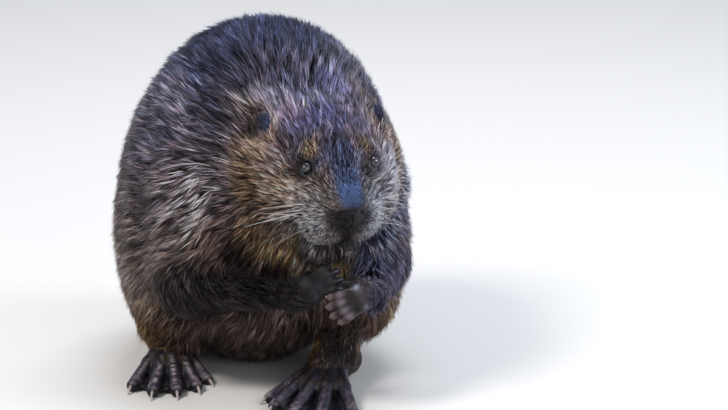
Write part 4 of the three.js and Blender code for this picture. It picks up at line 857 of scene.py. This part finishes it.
# painted glints: on the flanks, most on the right one, a share of the locks are brightened where the sky glints on the
# wet coat
gl = np.clip(spot(roots, (-92, -132, 236), (27, 42, 36)) + .35 * spot(roots, (112, -110, 226), (34, 60, 30)), 0, 1)
glint_strand = (rng.random(len(seeds)) < .5)[lock] & (rng.random(N) < .92)
W = np.where(glint_strand, W * (1 + .3 * gl), W)
reach = np.maximum(RD, .45) * np.where(glint_strand, 1 + .15 * gl, 1 - .1 * gl) * (.40 + .50 * lock_r + .14 * bunch_r + .16 * r4) * (1.14 - .42 * crease) * (1.06 - .26 * seam)
lift = np.arcsin(np.clip(reach / L, .07, .80))
yaw = rng.normal(0, .07, N) + (rng.normal(0, .13, len(seeds)))[lock] + (rng.normal(0, .07, len(big)))[bunch]
t0 = flow * np.cos(yaw)[:, None] + across * np.sin(yaw)[:, None]

# hairs of one lock run together towards its tip
near = np.exp(-(np.abs(lat) / 9) ** 4)
pinch = (.45 + .45 * rng.random(len(seeds)))[lock] * np.interp(LN, [3, 8, 20], [.35, .75, 1.0]) * near * np.where(stray, .3, 1)
pull = -across * (np.clip(lat, -5, 5) * pinch + blat * .26 * broad)[:, None] - flow * (np.clip(alo, -5, 5) * pinch * .35)[:, None]

l1, l2 = L * .48, L * .52
th1, th2 = lift * 1.30, lift * .74
th1 = np.where(stray, th1 + .08, th1); th2 = np.where(stray, th2 + .16, th2)
base = roots - rn * (.4 + .02 * L)[:, None]
d1 = t0 * np.cos(th1)[:, None] + rn * np.sin(th1)[:, None]
mid = roots + d1 * l1[:, None] + pull * .45
_, nm = sample(mid)
t1 = unit(t0 - nm * (t0 * nm).sum(1)[:, None])
d2 = t1 * np.cos(th2)[:, None] + nm * np.sin(th2)[:, None]
tip = mid + d2 * l2[:, None] + pull * .55
# no hair dips into the skin or the floor
for q_, clear in ((mid, .35), (tip, .15)):
    v_, n_ = sample(q_)
    q_ += n_ * np.clip(clear * np.minimum(1, RD / 2 + .3) - v_, 0, 3)[:, None]
    q_[:, 2] = np.maximum(q_[:, 2], .4 + .8 * r3)
say("strands")

axis = unit(tip - base)
side = unit(np.cross(axis, nm))
ridge = unit(np.cross(side, axis))
ridge = np.where((ridge * nm).sum(1)[:, None] < 0, -ridge, ridge)
w1 = (W * .5)[:, None]
VV = np.stack([base, mid - side * w1 - ridge * w1 * .35, mid + side * w1 - ridge * w1 * .35, mid + ridge * w1 * .8, tip], 1)
FACES = np.array([[0, 1, 2], [0, 2, 3], [0, 3, 1], [1, 4, 2], [2, 4, 3], [3, 4, 1]])
def turned(v):
    a, b, c = v[:, 1] - v[:, 0], v[:, 2] - v[:, 0], v[:, 3] - v[:, 0]
    return (np.cross(a, b) * c).sum(1)
inward = turned(VV) > 0

tc = markings(roots, rn, RG)
smooth = np.clip(np.exp(-((rq[:, 1] - 1) / 15) ** 4) * sstep(78, 92, rq[:, 0]) * sstep(-4, 6, rq[:, 2]) * on_head, 0, 1)
calm = (1 - .75 * smooth) * np.interp(LN, [3, 12], [.6, 1.0])
lock_tone = (rng.normal(0, .46, len(seeds))[lock] + 1.3 * (lock_r - .5)) * calm
bunch_tone = (rng.normal(0, .16, len(big))[bunch] + .5 * (bunch_r - .5)) * calm
tone = np.exp(rng.normal(0, .30, N) * (1 - .5 * smooth) + lock_tone + bunch_tone + .14 * wobble(roots, 60, 9))
# painted shade: strands at the edges of locks and in the partings between broad locks are darker
tone *= 1 + (.45 - 1.05 * np.clip(crease, 0, 1)) * calm
tone *= 1.12 - .52 * seam
dark = rng.random(N) < .26 * calm
tone = np.where(dark, tone * .28, tone)
tone = np.where(guard, tone * 1.6, tone)
# painted glints brighten those strands; the rest there are a little darker
tone = np.where(glint_strand, tone * (1 + 11.0 * gl), tone * (1 - .1 * gl))
# painted shade: a darker patch on the right of the back
tone *= 1 - .3 * spot(roots, (66, -48, 356), (40, 50, 30))
muzzle_ = np.clip(1.3 * spot(rq, (98, -31, -30), (23, 18, 30)) + 1.3 * spot(rq, (98, 31, -30), (23, 18, 30)), 0, 1) * on_head
tone *= np.exp(muzzle_ * (.75 * wobble(roots, 9, 77) + rng.normal(0, .45, len(seeds))[lock]))
brow_ = np.clip(1.3 * spot(rq, (53, -35, 37), (15, 19, 9)) + 1.3 * spot(rq, (53, 35, 37), (15, 19, 9)), 0, 1)
tone = np.where((rng.random(len(seeds)) < .55)[lock], tone * (1 - .75 * brow_), tone * (1 + .8 * brow_))
# pale strands on the dark jowls
fringe = on_head * sstep(-44, -70, rq[:, 2]) * sstep(114, 100, rq[:, 0])
blond = (rng.random(len(seeds)) < .30)[lock] & (rng.random(N) < .8)
tone = np.where(blond, tone * (1 + 1.3 * fringe), tone * (1 - .55 * fringe))
hue = rng.normal(0, .5, N) + rng.normal(0, .6, len(seeds))[lock]
warm = (1 + .05 * rng.normal(size=(N, 3))) * np.exp(np.clip(hue, -2, 2)[:, None] * V(.10, -.01, -.11) * (1 - .7 * smooth)[:, None])
tip_col = np.clip(tc * tone[:, None] * warm, .0015, .85)
root_col = np.clip(tc * V(.115, .095, .085) * (.6 + .8 * r4)[:, None], .0008, .3)
mid_col = root_col + (tip_col - root_col) * np.where(glint_strand, .34 + .26 * r1 + .30 * gl, .34 + .26 * r1)[:, None]
tip_col = np.clip(tip_col * 1.25, 0, .9)
CC = np.stack([root_col, mid_col, mid_col, mid_col, tip_col], 1)
gloss_ = smooth
say("tufts", N, "triangles", N * len(FACES))

def add_tufts(name, sel, slot, uv):
    n = len(sel)
    verts = row(VV[sel].reshape(-1, 3))
    faces = FACES[None] + (np.arange(n) * 5)[:, None, None]
    flip = inward[sel]
    faces[flip] = faces[flip][:, :, ::-1]
    ob = new_mesh(name, verts, faces.reshape(-1, 3))
    me = ob.data
    set_attr(me, "tint", CC[sel].reshape(-1, 3), "FLOAT_COLOR")
    set_attr(me, "gloss", np.repeat(gloss_[sel], 5))
    du = np.array([0, -1.3, 1.3, .2, 0]) * .001
    dv = np.array([-1.5, -.1, -.1, .3, 1.5]) * .001
    full = (uv[:, None, :] + np.stack([du, dv], 1)[None]).reshape(-1, 2)
    lay = me.uv_layers.new(name="OFBake")
    vi = np.zeros(len(me.loops), np.int32); me.loops.foreach_get("vertex_index", vi)
    lay.data.foreach_set("uv", full[vi].astype(np.float32).ravel())
    me.materials.append(FUR if slot != "face_coat" else FACE_FUR)
    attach(ob, "root")
    return ob

# ------------------------------------------------------------------ materials
def material(name, rough, spec, tint="tint", noise=(0, 0)):
    m = bpy.data.materials.new(name); m.use_nodes = True
    nt = m.node_tree; b = nt.nodes["Principled BSDF"]
    b.inputs["Roughness"].default_value = rough
    b.inputs["Specular IOR Level"].default_value = spec
    at = nt.nodes.new("ShaderNodeAttribute"); at.attribute_name = tint
    colour = at.outputs["Color"]
    tc_ = nt.nodes.new("ShaderNodeTexCoord")
    if noise[0]:
        nz = nt.nodes.new("ShaderNodeTexNoise"); nz.inputs["Scale"].default_value = noise[0]; nz.inputs["Detail"].default_value = 4
        nt.links.new(tc_.outputs["Object"], nz.inputs["Vector"])
        mr = nt.nodes.new("ShaderNodeMapRange"); mr.inputs["From Min"].default_value = .3; mr.inputs["From Max"].default_value = .7
        mr.inputs["To Min"].default_value = 1 - noise[1]; mr.inputs["To Max"].default_value = 1 + noise[1]
        nt.links.new(nz.outputs["Fac"], mr.inputs["Value"])
        mx = nt.nodes.new("ShaderNodeVectorMath"); mx.operation = "SCALE"
        nt.links.new(colour, mx.inputs[0]); nt.links.new(mr.outputs["Result"], mx.inputs["Scale"])
        colour = mx.outputs["Vector"]
    nt.links.new(colour, b.inputs["Base Color"])
    return m, nt, b, tc_, colour
def gloss(nt, b, attr, dull, shiny):
    w_ = nt.nodes.new("ShaderNodeAttribute"); w_.attribute_name = attr
    mr = nt.nodes.new("ShaderNodeMapRange"); mr.inputs["To Min"].default_value = dull; mr.inputs["To Max"].default_value = shiny
    nt.links.new(w_.outputs["Fac"], mr.inputs["Value"]); nt.links.new(mr.outputs["Result"], b.inputs["Roughness"])
FUR, nt, bs, *_ = material("fur", .36, .20, noise=(60, .15))
FACE_FUR, nt, bs, *_ = material("face_fur", .42, .20, noise=(120, .15))
gloss(nt, bs, "gloss", .42, .30)
SKIN, nt, bs, tc_, colour = material("hide", .5, .20, noise=(90, .18))
gloss(nt, bs, "wet", .62, .24)
h_ = nt.nodes.new("ShaderNodeAttribute"); h_.attribute_name = "hide"
vor = nt.nodes.new("ShaderNodeTexVoronoi"); vor.inputs["Scale"].default_value = 420; vor.feature = "DISTANCE_TO_EDGE"
nt.links.new(tc_.outputs["Object"], vor.inputs["Vector"])
nz = nt.nodes.new("ShaderNodeTexNoise"); nz.inputs["Scale"].default_value = 900; nz.inputs["Detail"].default_value = 3
nt.links.new(tc_.outputs["Object"], nz.inputs["Vector"])
mul_ = nt.nodes.new("ShaderNodeMath"); mul_.operation = "MULTIPLY"; nt.links.new(vor.outputs["Distance"], mul_.inputs[0]); nt.links.new(h_.outputs["Fac"], mul_.inputs[1])
add_ = nt.nodes.new("ShaderNodeMath"); add_.operation = "MULTIPLY_ADD"; add_.inputs[1].default_value = .25
nt.links.new(nz.outputs["Fac"], add_.inputs[0]); nt.links.new(mul_.outputs[0], add_.inputs[2])
bmp = nt.nodes.new("ShaderNodeBump"); bmp.inputs["Strength"].default_value = .6; bmp.inputs["Distance"].default_value = .0014
nt.links.new(add_.outputs[0], bmp.inputs["Height"]); nt.links.new(bmp.outputs["Normal"], bs.inputs["Normal"])
me0.materials.append(SKIN)

# coat pieces: the coat is parted into regions, each with its own unwrap of the skin beneath it
def region_of(p, g):
    k = np.where(g["head"] < 15, 0, 1)
    armr = (d_cone(p, ARM_R[1], ARM_R[2], 29, 16) < 6) | (d_cone(p, ARM_R[0], ARM_R[1], 50, 35) < 0)
    arml = (d_cone(p, ARM_L[1], ARM_L[2], 28, 16) < 6) | (d_cone(p, ARM_L[0], ARM_L[1], 46, 34) < 0)
    k[(k == 1) & armr] = 2
    k[(k == 1) & arml] = 3
    return k
def even_split(idx, limit):
    """Halve a patch across its longest way until each part is under the limit."""
    if len(idx) <= limit: return [idx]
    p = roots[idx]; c = p - p.mean(0)
    w, v = np.linalg.eigh(c.T @ c)
    s = c @ v[:, 2]; m = np.median(s)
    return even_split(idx[s <= m], limit) + even_split(idx[s > m], limit)
def unwrap(sel):
    """Unwrap of the skin under one patch, as seen from inside it, spaced so that no two tufts share a place."""
    p = roots[sel]
    c = p.mean(0); m = rn[sel].mean(0)
    size = np.sqrt(((p - c) ** 2).sum(1).mean())
    if np.linalg.norm(m) < .35: m = V(0, -1, 0)
    m = norm(m); o = c - m * size * .9
    a = norm(np.cross(V(0, 0, 1), m) if abs(m[2]) < .95 else np.cross(V(0, 1, 0), m)); b = np.cross(m, a)
    v = unit(p - o)
    ang = np.arccos(np.clip(v @ m, -1, 1)); s = ang / (np.sqrt((v @ a) ** 2 + (v @ b) ** 2) + 1e-9)
    uv = np.stack([v @ a * s, v @ b * s], 1)
    n = len(sel); rows = int(np.ceil(np.sqrt(n)))
    order = np.argsort(uv[:, 1], kind="stable")
    out = np.zeros((n, 2))
    for r in range(rows):
        part = order[r * n // rows:(r + 1) * n // rows]
        part = part[np.argsort(uv[part, 0], kind="stable")]
        out[part, 0] = (np.arange(len(part)) + .5) / len(part)
        out[part, 1] = (r + .5) / rows
    return .006 + .988 * out
LIMIT = 24000
KIND = region_of(roots, RG)
patches = [(slot, s) for k, slot in ((0, "face_coat"), (1, "coat"), (2, "coat"), (3, "coat")) for s in even_split(np.where(KIND == k)[0], LIMIT)]
for k, (slot, sel) in enumerate(patches):
    add_tufts(f"{slot}_{k}", sel, slot, unwrap(sel))
say("coat pieces", len(patches), "largest", max(len(s) for _, s in patches) * len(FACES))

# ------------------------------------------------------------------ eyes
EYE_M = bpy.data.materials.new("eye"); EYE_M.use_nodes = True
nt = EYE_M.node_tree; b = nt.nodes["Principled BSDF"]
b.inputs["Roughness"].default_value = .07; b.inputs["Specular IOR Level"].default_value = .5
b.inputs["Coat Weight"].default_value = .6; b.inputs["Coat Roughness"].default_value = .03
at = nt.nodes.new("ShaderNodeAttribute"); at.attribute_name = "tint"; nt.links.new(at.outputs["Color"], b.inputs["Base Color"])
for s, c, M in EYES:
    bm = bmesh.new(); bmesh.ops.create_icosphere(bm, subdivisions=4, radius=1)
    me = bpy.data.meshes.new("t"); bm.to_mesh(me); bm.free()
    v = np.array([x.co[:] for x in me.vertices])
    a = v[:, 0]
    v = v * (EYE_R + .9 * np.exp(-((1 - a) / .18) ** 2))[:, None]
    me.vertices.foreach_set("co", row(c + v @ M.T).astype(np.float32).ravel())
    name = "eyeball_left" if s > 0 else "eyeball_right"
    me.name = name
    ob = bpy.data.objects.new(name, me); bpy.context.scene.collection.objects.link(ob)
    me.polygons.foreach_set("use_smooth", np.full(len(me.polygons), True))
    ang = np.degrees(np.arccos(np.clip(a, -1, 1)))
    ec = mix(np.tile(V(.004, .003, .003), (len(v), 1)), V(.026, .022, .026), sstep(20, 27, ang))
    ec = mix(ec, V(.008, .006, .007), sstep(38, 48, ang))
    ec = mix(ec, V(.022, .018, .020), sstep(58, 68, ang))
    set_attr(me, "tint", ec, "FLOAT_COLOR")
    me.materials.append(EYE_M)
    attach(ob, "root"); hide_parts("eye_left" if s > 0 else "eye_right")

# ------------------------------------------------------------------ claws
CLAW = bpy.data.materials.new("claw"); CLAW.use_nodes = True
nt = CLAW.node_tree; b = nt.nodes["Principled BSDF"]; b.inputs["Roughness"].default_value = .33; b.inputs["Specular IOR Level"].default_value = .5
at = nt.nodes.new("ShaderNodeAttribute"); at.attribute_name = "tint"
nz = nt.nodes.new("ShaderNodeTexNoise"); nz.inputs["Scale"].default_value = 700; tcx = nt.nodes.new("ShaderNodeTexCoord"); nt.links.new(tcx.outputs["Object"], nz.inputs["Vector"])
mr = nt.nodes.new("ShaderNodeMapRange"); mr.inputs["To Min"].default_value = .7; mr.inputs["To Max"].default_value = 1.25; nt.links.new(nz.outputs["Fac"], mr.inputs["Value"])
mx = nt.nodes.new("ShaderNodeVectorMath"); mx.operation = "SCALE"; nt.links.new(at.outputs["Color"], mx.inputs[0]); nt.links.new(mr.outputs["Result"], mx.inputs["Scale"])
nt.links.new(mx.outputs["Vector"], b.inputs["Base Color"])
def claw(name, base, d, up, length, radius, rootc, tipc):
    rings, sides = 12, 14
    side = norm(np.cross(d, up)); u0 = norm(np.cross(side, d))
    vs, cs, fs = [], [], []
    p = base.copy()
    for i in range(rings):
        t = i / rings; a = t * .95
        dd = d * cos(a) - u0 * sin(a); uu = u0 * cos(a) + d * sin(a)
        r = radius * ((1 - t) ** .75 * .93 + .07)
        for j in range(sides):
            q = j / sides * 2 * pi
            lift_ = sin(q) * r * 1.12 * (.72 if sin(q) < 0 else 1)
            vs.append(p + side * cos(q) * r * .82 + uu * lift_)
            cs.append(rootc + (tipc - rootc) * t ** .8)
        p = p + dd * length / rings
    vs.append(p + dd * length * .03); cs.append(tipc); tipi = len(vs) - 1
    vs.append(base - d * .5); cs.append(rootc); bi = len(vs) - 1
    for i in range(rings - 1):
        for j in range(sides):
            a_, b__ = i * sides + j, i * sides + (j + 1) % sides
            fs += [[a_, b__, b__ + sides], [a_, b__ + sides, a_ + sides]]
    for j in range(sides):
        fs.append([bi, (j + 1) % sides, j]); k = (rings - 1) * sides
        fs.append([k + j, k + (j + 1) % sides, tipi])
    vs = np.array(vs); vs[:, 2] = np.maximum(vs[:, 2], .1)
    fs = np.array(fs)
    vol = (vs[fs[:, 0]] * np.cross(vs[fs[:, 1]], vs[fs[:, 2]])).sum()
    if vol < 0: fs = fs[:, ::-1]
    ob = new_mesh(name + "_horn", row(vs), fs)
    set_attr(ob.data, "tint", np.array(cs), "FLOAT_COLOR")
    ob.data.materials.append(CLAW)
    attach(ob, "root"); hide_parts(name)
for F, lab in ((FOOT_R, "right"), (FOOT_L, "left")):
    for i in range(5):
        b0, m0, t0_, r0 = toe_points(F, i)
        d = t0_ - m0; d[2] = 0; d = norm(d); d = norm(d + V(0, 0, -.12))
        claw(f"hind_claw_{lab}_{i + 1}", t0_ + d * (r0 - 5.5) + V(0, 0, 1.0), d, V(0, 0, 1), 17, 3.0, V(.10, .075, .065), V(.48, .42, .40))
for h, lab in ((HAND_R, "right"), (HAND_L, "left")):
    d, n, c = hand_axes(h)
    for i in range(4):
        b0, m0, t0_, r0, cd = finger_points(h, i)
        upv = norm(np.cross(cd, c)) * (-1 if np.cross(cd, c) @ n > 0 else 1)
        claw(f"fore_claw_{lab}_{i + 1}", t0_ + cd * (r0 - 4.4), cd, upv, 14, 2.3, V(.10, .07, .065), V(.46, .36, .35))

# ------------------------------------------------------------------ tail scales
TAILM = bpy.data.materials.new("tail_scale"); TAILM.use_nodes = True
nt = TAILM.node_tree; b = nt.nodes["Principled BSDF"]; b.inputs["Roughness"].default_value = .42; b.inputs["Specular IOR Level"].default_value = .5
at = nt.nodes.new("ShaderNodeAttribute"); at.attribute_name = "tint"
nz = nt.nodes.new("ShaderNodeTexNoise"); nz.inputs["Scale"].default_value = 260; nz.inputs["Detail"].default_value = 5; tcx = nt.nodes.new("ShaderNodeTexCoord"); nt.links.new(tcx.outputs["Object"], nz.inputs["Vector"])
mr = nt.nodes.new("ShaderNodeMapRange"); mr.inputs["To Min"].default_value = .6; mr.inputs["To Max"].default_value = 1.4; nt.links.new(nz.outputs["Fac"], mr.inputs["Value"])
mx = nt.nodes.new("ShaderNodeVectorMath"); mx.operation = "SCALE"; nt.links.new(at.outputs["Color"], mx.inputs[0]); nt.links.new(mr.outputs["Result"], mx.inputs["Scale"])
nt.links.new(mx.outputs["Vector"], b.inputs["Base Color"])
bp = nt.nodes.new("ShaderNodeBump"); bp.inputs["Distance"].default_value = .0005; bp.inputs["Strength"].default_value = .5; nt.links.new(nz.outputs["Fac"], bp.inputs["Height"]); nt.links.new(bp.outputs["Normal"], b.inputs["Normal"])
ax_ = norm(TAIL_B - TAIL_A); TL = np.linalg.norm(TAIL_B - TAIL_A); sx = V(-ax_[1], ax_[0], 0)
vs, fs, cs = [], [], []
r_ = np.random.default_rng(4)
row_i = 0
t = .16
while t < 1 + 14 / TL:
    sites = []
    if t < .92:
        w, h = tail_sizes(np.array([t]))
        w, h = float(w[0]), float(h[0])
        # girth of the section as an angle sweep: scales about 5 mm apart all round, but not where the tail meets the floor
        per = max(8, int(pi * (3 * (w + h) - np.sqrt((3 * w + h) * (w + 3 * h))) / 5.4))
        angs = np.linspace(0, 2 * pi, 400)
        xs, zs = w * np.cos(angs), h * np.sin(angs)
        arc = np.concatenate([[0], np.cumsum(np.hypot(np.diff(xs), np.diff(zs)))])
        for j in range(per):
            a = np.interp((j + .5 * (row_i % 2)) / per * arc[-1], arc, angs)
            x, z = w * cos(a), h * sin(a) + h * .98
            nn = norm(V(0, 0, 0) + sx * (cos(a) / w) + V(0, 0, sin(a) / h))
            # slope of the section along the tail tips the scale
            p = TAIL_A + ax_ * t * TL + sx * x + V(0, 0, z)
            if z < 2.2: continue
            e = 1e-2
            w2, h2 = tail_sizes(np.array([min(t + e, .999)])); p2 = TAIL_A + ax_ * min(t + e, .999) * TL + sx * float(w2[0]) * cos(a) + V(0, 0, float(h2[0]) * (sin(a) + .98))
            al = norm(p2 - p) if np.linalg.norm(p2 - p) > 1e-6 else ax_
            nn = norm(nn - al * (nn @ al))
            sites.append((p, al, nn))
    else:
        # the rounded end: rows let down from above on to the skin
        P = np.array([TAIL_A + ax_ * t * TL + sx * (j + .5 * (row_i % 2)) * 5.2 for j in range(-15, 15)])
        P[:, 2] = 24
        for _ in range(60):
            v_, n_ = sample(P)
            P[:, 2] = np.maximum(P[:, 2] - np.clip(v_ * .8, 0, 1.5), 1.0)
        for p, v1, nn in zip(P, v_, n_):
            if abs(v1) > .25 or p[2] < 1.8: continue
            al = norm(ax_ - nn * (ax_ @ nn))
            sites.append((p, al, nn))
    for p, al, nn in sites:
        ac = np.cross(nn, al)
        sl, sw = 3.7 * r_.uniform(.9, 1.1), 2.75 * r_.uniform(.92, 1.06)
        if t > .95: sl *= .85
        k = len(vs)
        rim = [(-.9, -.55), (-.95, .55), (0, 1.0), (.72, .72), (1.0, 0), (.72, -.72), (0, -1.0)]
        for (u, v_) in rim:
            vs.append(p + al * sl * u + ac * sw * v_ + nn * (-.75 if u < -.5 else -.15))
            cs.append(V(.018, .017, .020))
        top = [(-.55, -.35), (-.55, .35), (.1, .62), (.62, .35), (.62, -.35), (.1, -.62)]
        tint_ = V(.050, .048, .055) * r_.uniform(.7, 1.35)
        for (u, v_) in top:
            vs.append(p + al * sl * u + ac * sw * v_ + nn * (.15 + .38 * (u + .6)))
            cs.append(tint_)
        R, Tp = list(range(k, k + 7)), list(range(k + 7, k + 13))
        fs += [[R[0], R[1], Tp[1]], [R[0], Tp[1], Tp[0]], [R[1], R[2], Tp[2]], [R[1], Tp[2], Tp[1]], [R[2], R[3], Tp[3]], [R[2], Tp[3], Tp[2]],
               [R[3], R[4], Tp[3]], [R[4], Tp[4], Tp[3]], [R[4], R[5], Tp[4]], [R[5], R[6], Tp[5]], [R[5], Tp[5], Tp[4]], [R[6], R[0], Tp[0]], [R[6], Tp[0], Tp[5]],
               [Tp[0], Tp[1], Tp[2]], [Tp[0], Tp[2], Tp[5]], [Tp[2], Tp[3], Tp[4]], [Tp[2], Tp[4], Tp[5]],
               [R[0], R[2], R[1]], [R[0], R[6], R[2]], [R[2], R[6], R[3]], [R[3], R[6], R[5]], [R[3], R[5], R[4]]]
    row_i += 1
    t += 5.0 / TL
vs = np.array(vs); vs[:, 2] = np.maximum(vs[:, 2], .05); fs = np.array(fs)
c0 = vs[:13].mean(0); f0 = fs[:22]
vol = ((vs[f0[:, 0]] - c0) * np.cross(vs[f0[:, 1]] - c0, vs[f0[:, 2]] - c0)).sum()
if vol < 0: fs = fs[:, ::-1]
ob = new_mesh("tail_scales_mesh", row(vs), fs, smooth=False)
set_attr(ob.data, "tint", np.array(cs), "FLOAT_COLOR"); ob.data.materials.append(TAILM)
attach(ob, "root")
say("tail scales", len(fs))

# ------------------------------------------------------------------ whiskers
WH = bpy.data.materials.new("whisker"); WH.use_nodes = True
nt = WH.node_tree; b = nt.nodes["Principled BSDF"]; b.inputs["Roughness"].default_value = .35
at = nt.nodes.new("ShaderNodeAttribute"); at.attribute_name = "tint"; nt.links.new(at.outputs["Color"], b.inputs["Base Color"])
vs, fs, cs = [], [], []
def whisker(p, d, sag, length, r, c):
    K = 8
    d = norm(d); s = norm(np.cross(d, V(0, 0, 1))); u = np.cross(s, d)
    k0 = len(vs)
    for i in range(K):
        t = i / K
        q = p + d * length * t + V(0, 0, -1) * sag * t * t
        rr = r * (1 - .85 * t)
        for j in range(3):
            a = j * 2.0944
            vs.append(q + s * cos(a) * rr + u * sin(a) * rr); cs.append(c)
    vs.append(p + d * length + V(0, 0, -1) * sag); cs.append(c)
    for i in range(K - 1):
        for j in range(3):
            a_, b__ = k0 + i * 3 + j, k0 + i * 3 + (j + 1) % 3
            fs.extend([[a_, b__, b__ + 3], [a_, b__ + 3, a_ + 3]])
    fs.append([k0, k0 + 2, k0 + 1])
    for j in range(3): fs.append([k0 + (K - 1) * 3 + j, k0 + (K - 1) * 3 + (j + 1) % 3, k0 + K * 3])
r_ = np.random.default_rng(12)
for s in (-1, 1):
    for i in range(13):
        f, u = r_.uniform(84, 106), r_.uniform(-40, -12)
        x = H(f, s * 40, u)
        d_ = HF * r_.uniform(-.55, .15) + HL * s * 1.0 + HU * r_.uniform(-.35, .15)
        # find the skin under this place
        p = H(f - 6, 0, u)
        for _ in range(40):
            v_ = float(sample(p[None])[0][0])
            if v_ > -.4: break
            p = p + HL * s * max(-v_ * .8, .3)
        tone_ = r_.choice([.72, .4, .05], p=[.45, .25, .3])
        whisker(p, d_, r_.uniform(2, 12), r_.uniform(34, 66), .38, V(tone_, tone_ * .97, tone_ * .95))
# the longest one
p = H(86, 0, -22)
for _ in range(60):
    v_ = float(sample(p[None])[0][0])
    if v_ > -.4: break
    p = p - HL * max(-v_ * .8, .3)
whisker(p, V(-.93, -.30, -.05), 3, 78, .46, V(.80, .80, .84))
fs = np.array(fs)
ob = new_mesh("whiskers", row(np.array(vs)), fs)
set_attr(ob.data, "tint", np.array(cs), "FLOAT_COLOR"); ob.data.materials.append(WH)
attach(ob, "root")

# ------------------------------------------------------------------ floor, light, camera
def plain(name, c, rough=.7):
    m = bpy.data.materials.new(name); m.use_nodes = True
    b = m.node_tree.nodes["Principled BSDF"]; b.inputs["Base Color"].default_value = (*c, 1); b.inputs["Roughness"].default_value = rough
    return m
xs = np.linspace(-6, 6, 3)
ob = new_mesh("floor", [(-8, -8, 0), (8, -8, 0), (8, 8, 0), (-8, 8, 0)], np.array([[0, 1, 2, 3]]))
ob.data.materials.append(plain("floor_mat", (.62, .60, .57)))
ob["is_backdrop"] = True
sc = bpy.context.scene
w = bpy.data.worlds.new("studio"); sc.world = w; w.use_nodes = True
w.node_tree.nodes["Background"].inputs[0].default_value = (.80, .86, 1.0, 1); w.node_tree.nodes["Background"].inputs[1].default_value = .45
def area(name, loc, target, size, power, colour=(1, 1, 1)):
    l = bpy.data.lights.new(name, "AREA"); l.energy = power; l.size = size; l.color = colour
    o = bpy.data.objects.new(name, l); sc.collection.objects.link(o)
    o.location = loc
    o.rotation_mode = "QUATERNION"; o.rotation_quaternion = (Vector(target) - Vector(loc)).to_track_quat("-Z", "Y")
area("key", (-1.6, -.9, 2.4), (0, -.05, .2), .8, 66, (1, .97, .93))
area("top", (.5, .9, 2.3), (0, 0, .3), 1.4, 45, (.86, .91, 1))
area("side", (1.9, -.7, 1.5), (0, -.05, .2), .9, 30, (.82, .90, 1))
area("fill", (.6, -2.3, .7), (0, -.1, .15), 1.4, 13, (1, .97, .94))
sc.view_settings.view_transform = "Standard"
AZ, EL, MMPX, DIST, X0, Y0 = -12.0, 16.0, 1.15, 6000.0, -116.0, -173.0
a, e = radians(AZ), radians(EL)
Rv = V(cos(a), sin(a), 0); Aw = V(-sin(a), cos(a), 0)
Uv = Aw * sin(e) + V(0, 0, 1) * cos(e); Fv = Aw * cos(e) - V(0, 0, 1) * sin(e)
eye_at = row(-X0 * Rv - Y0 * Uv - Fv * DIST)
cam = bpy.data.objects.new("camera", bpy.data.cameras.new("camera")); sc.collection.objects.link(cam); sc.camera = cam
cam.data.sensor_width = 36; cam.data.lens = 36 * DIST / (728 * MMPX)
cam.data.clip_start, cam.data.clip_end = .1, 50
cam.rotation_mode = "QUATERNION"
Mr = Matrix([[Rv[i], Uv[i], -Fv[i]] for i in range(3)])
cam.location = eye_at
cam.rotation_quaternion = Mr.to_quaternion()

vis = [list(c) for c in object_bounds()]
say("cad", np.round(CAD_BOX, 4).tolist(), "visual", np.round(vis, 4).tolist())
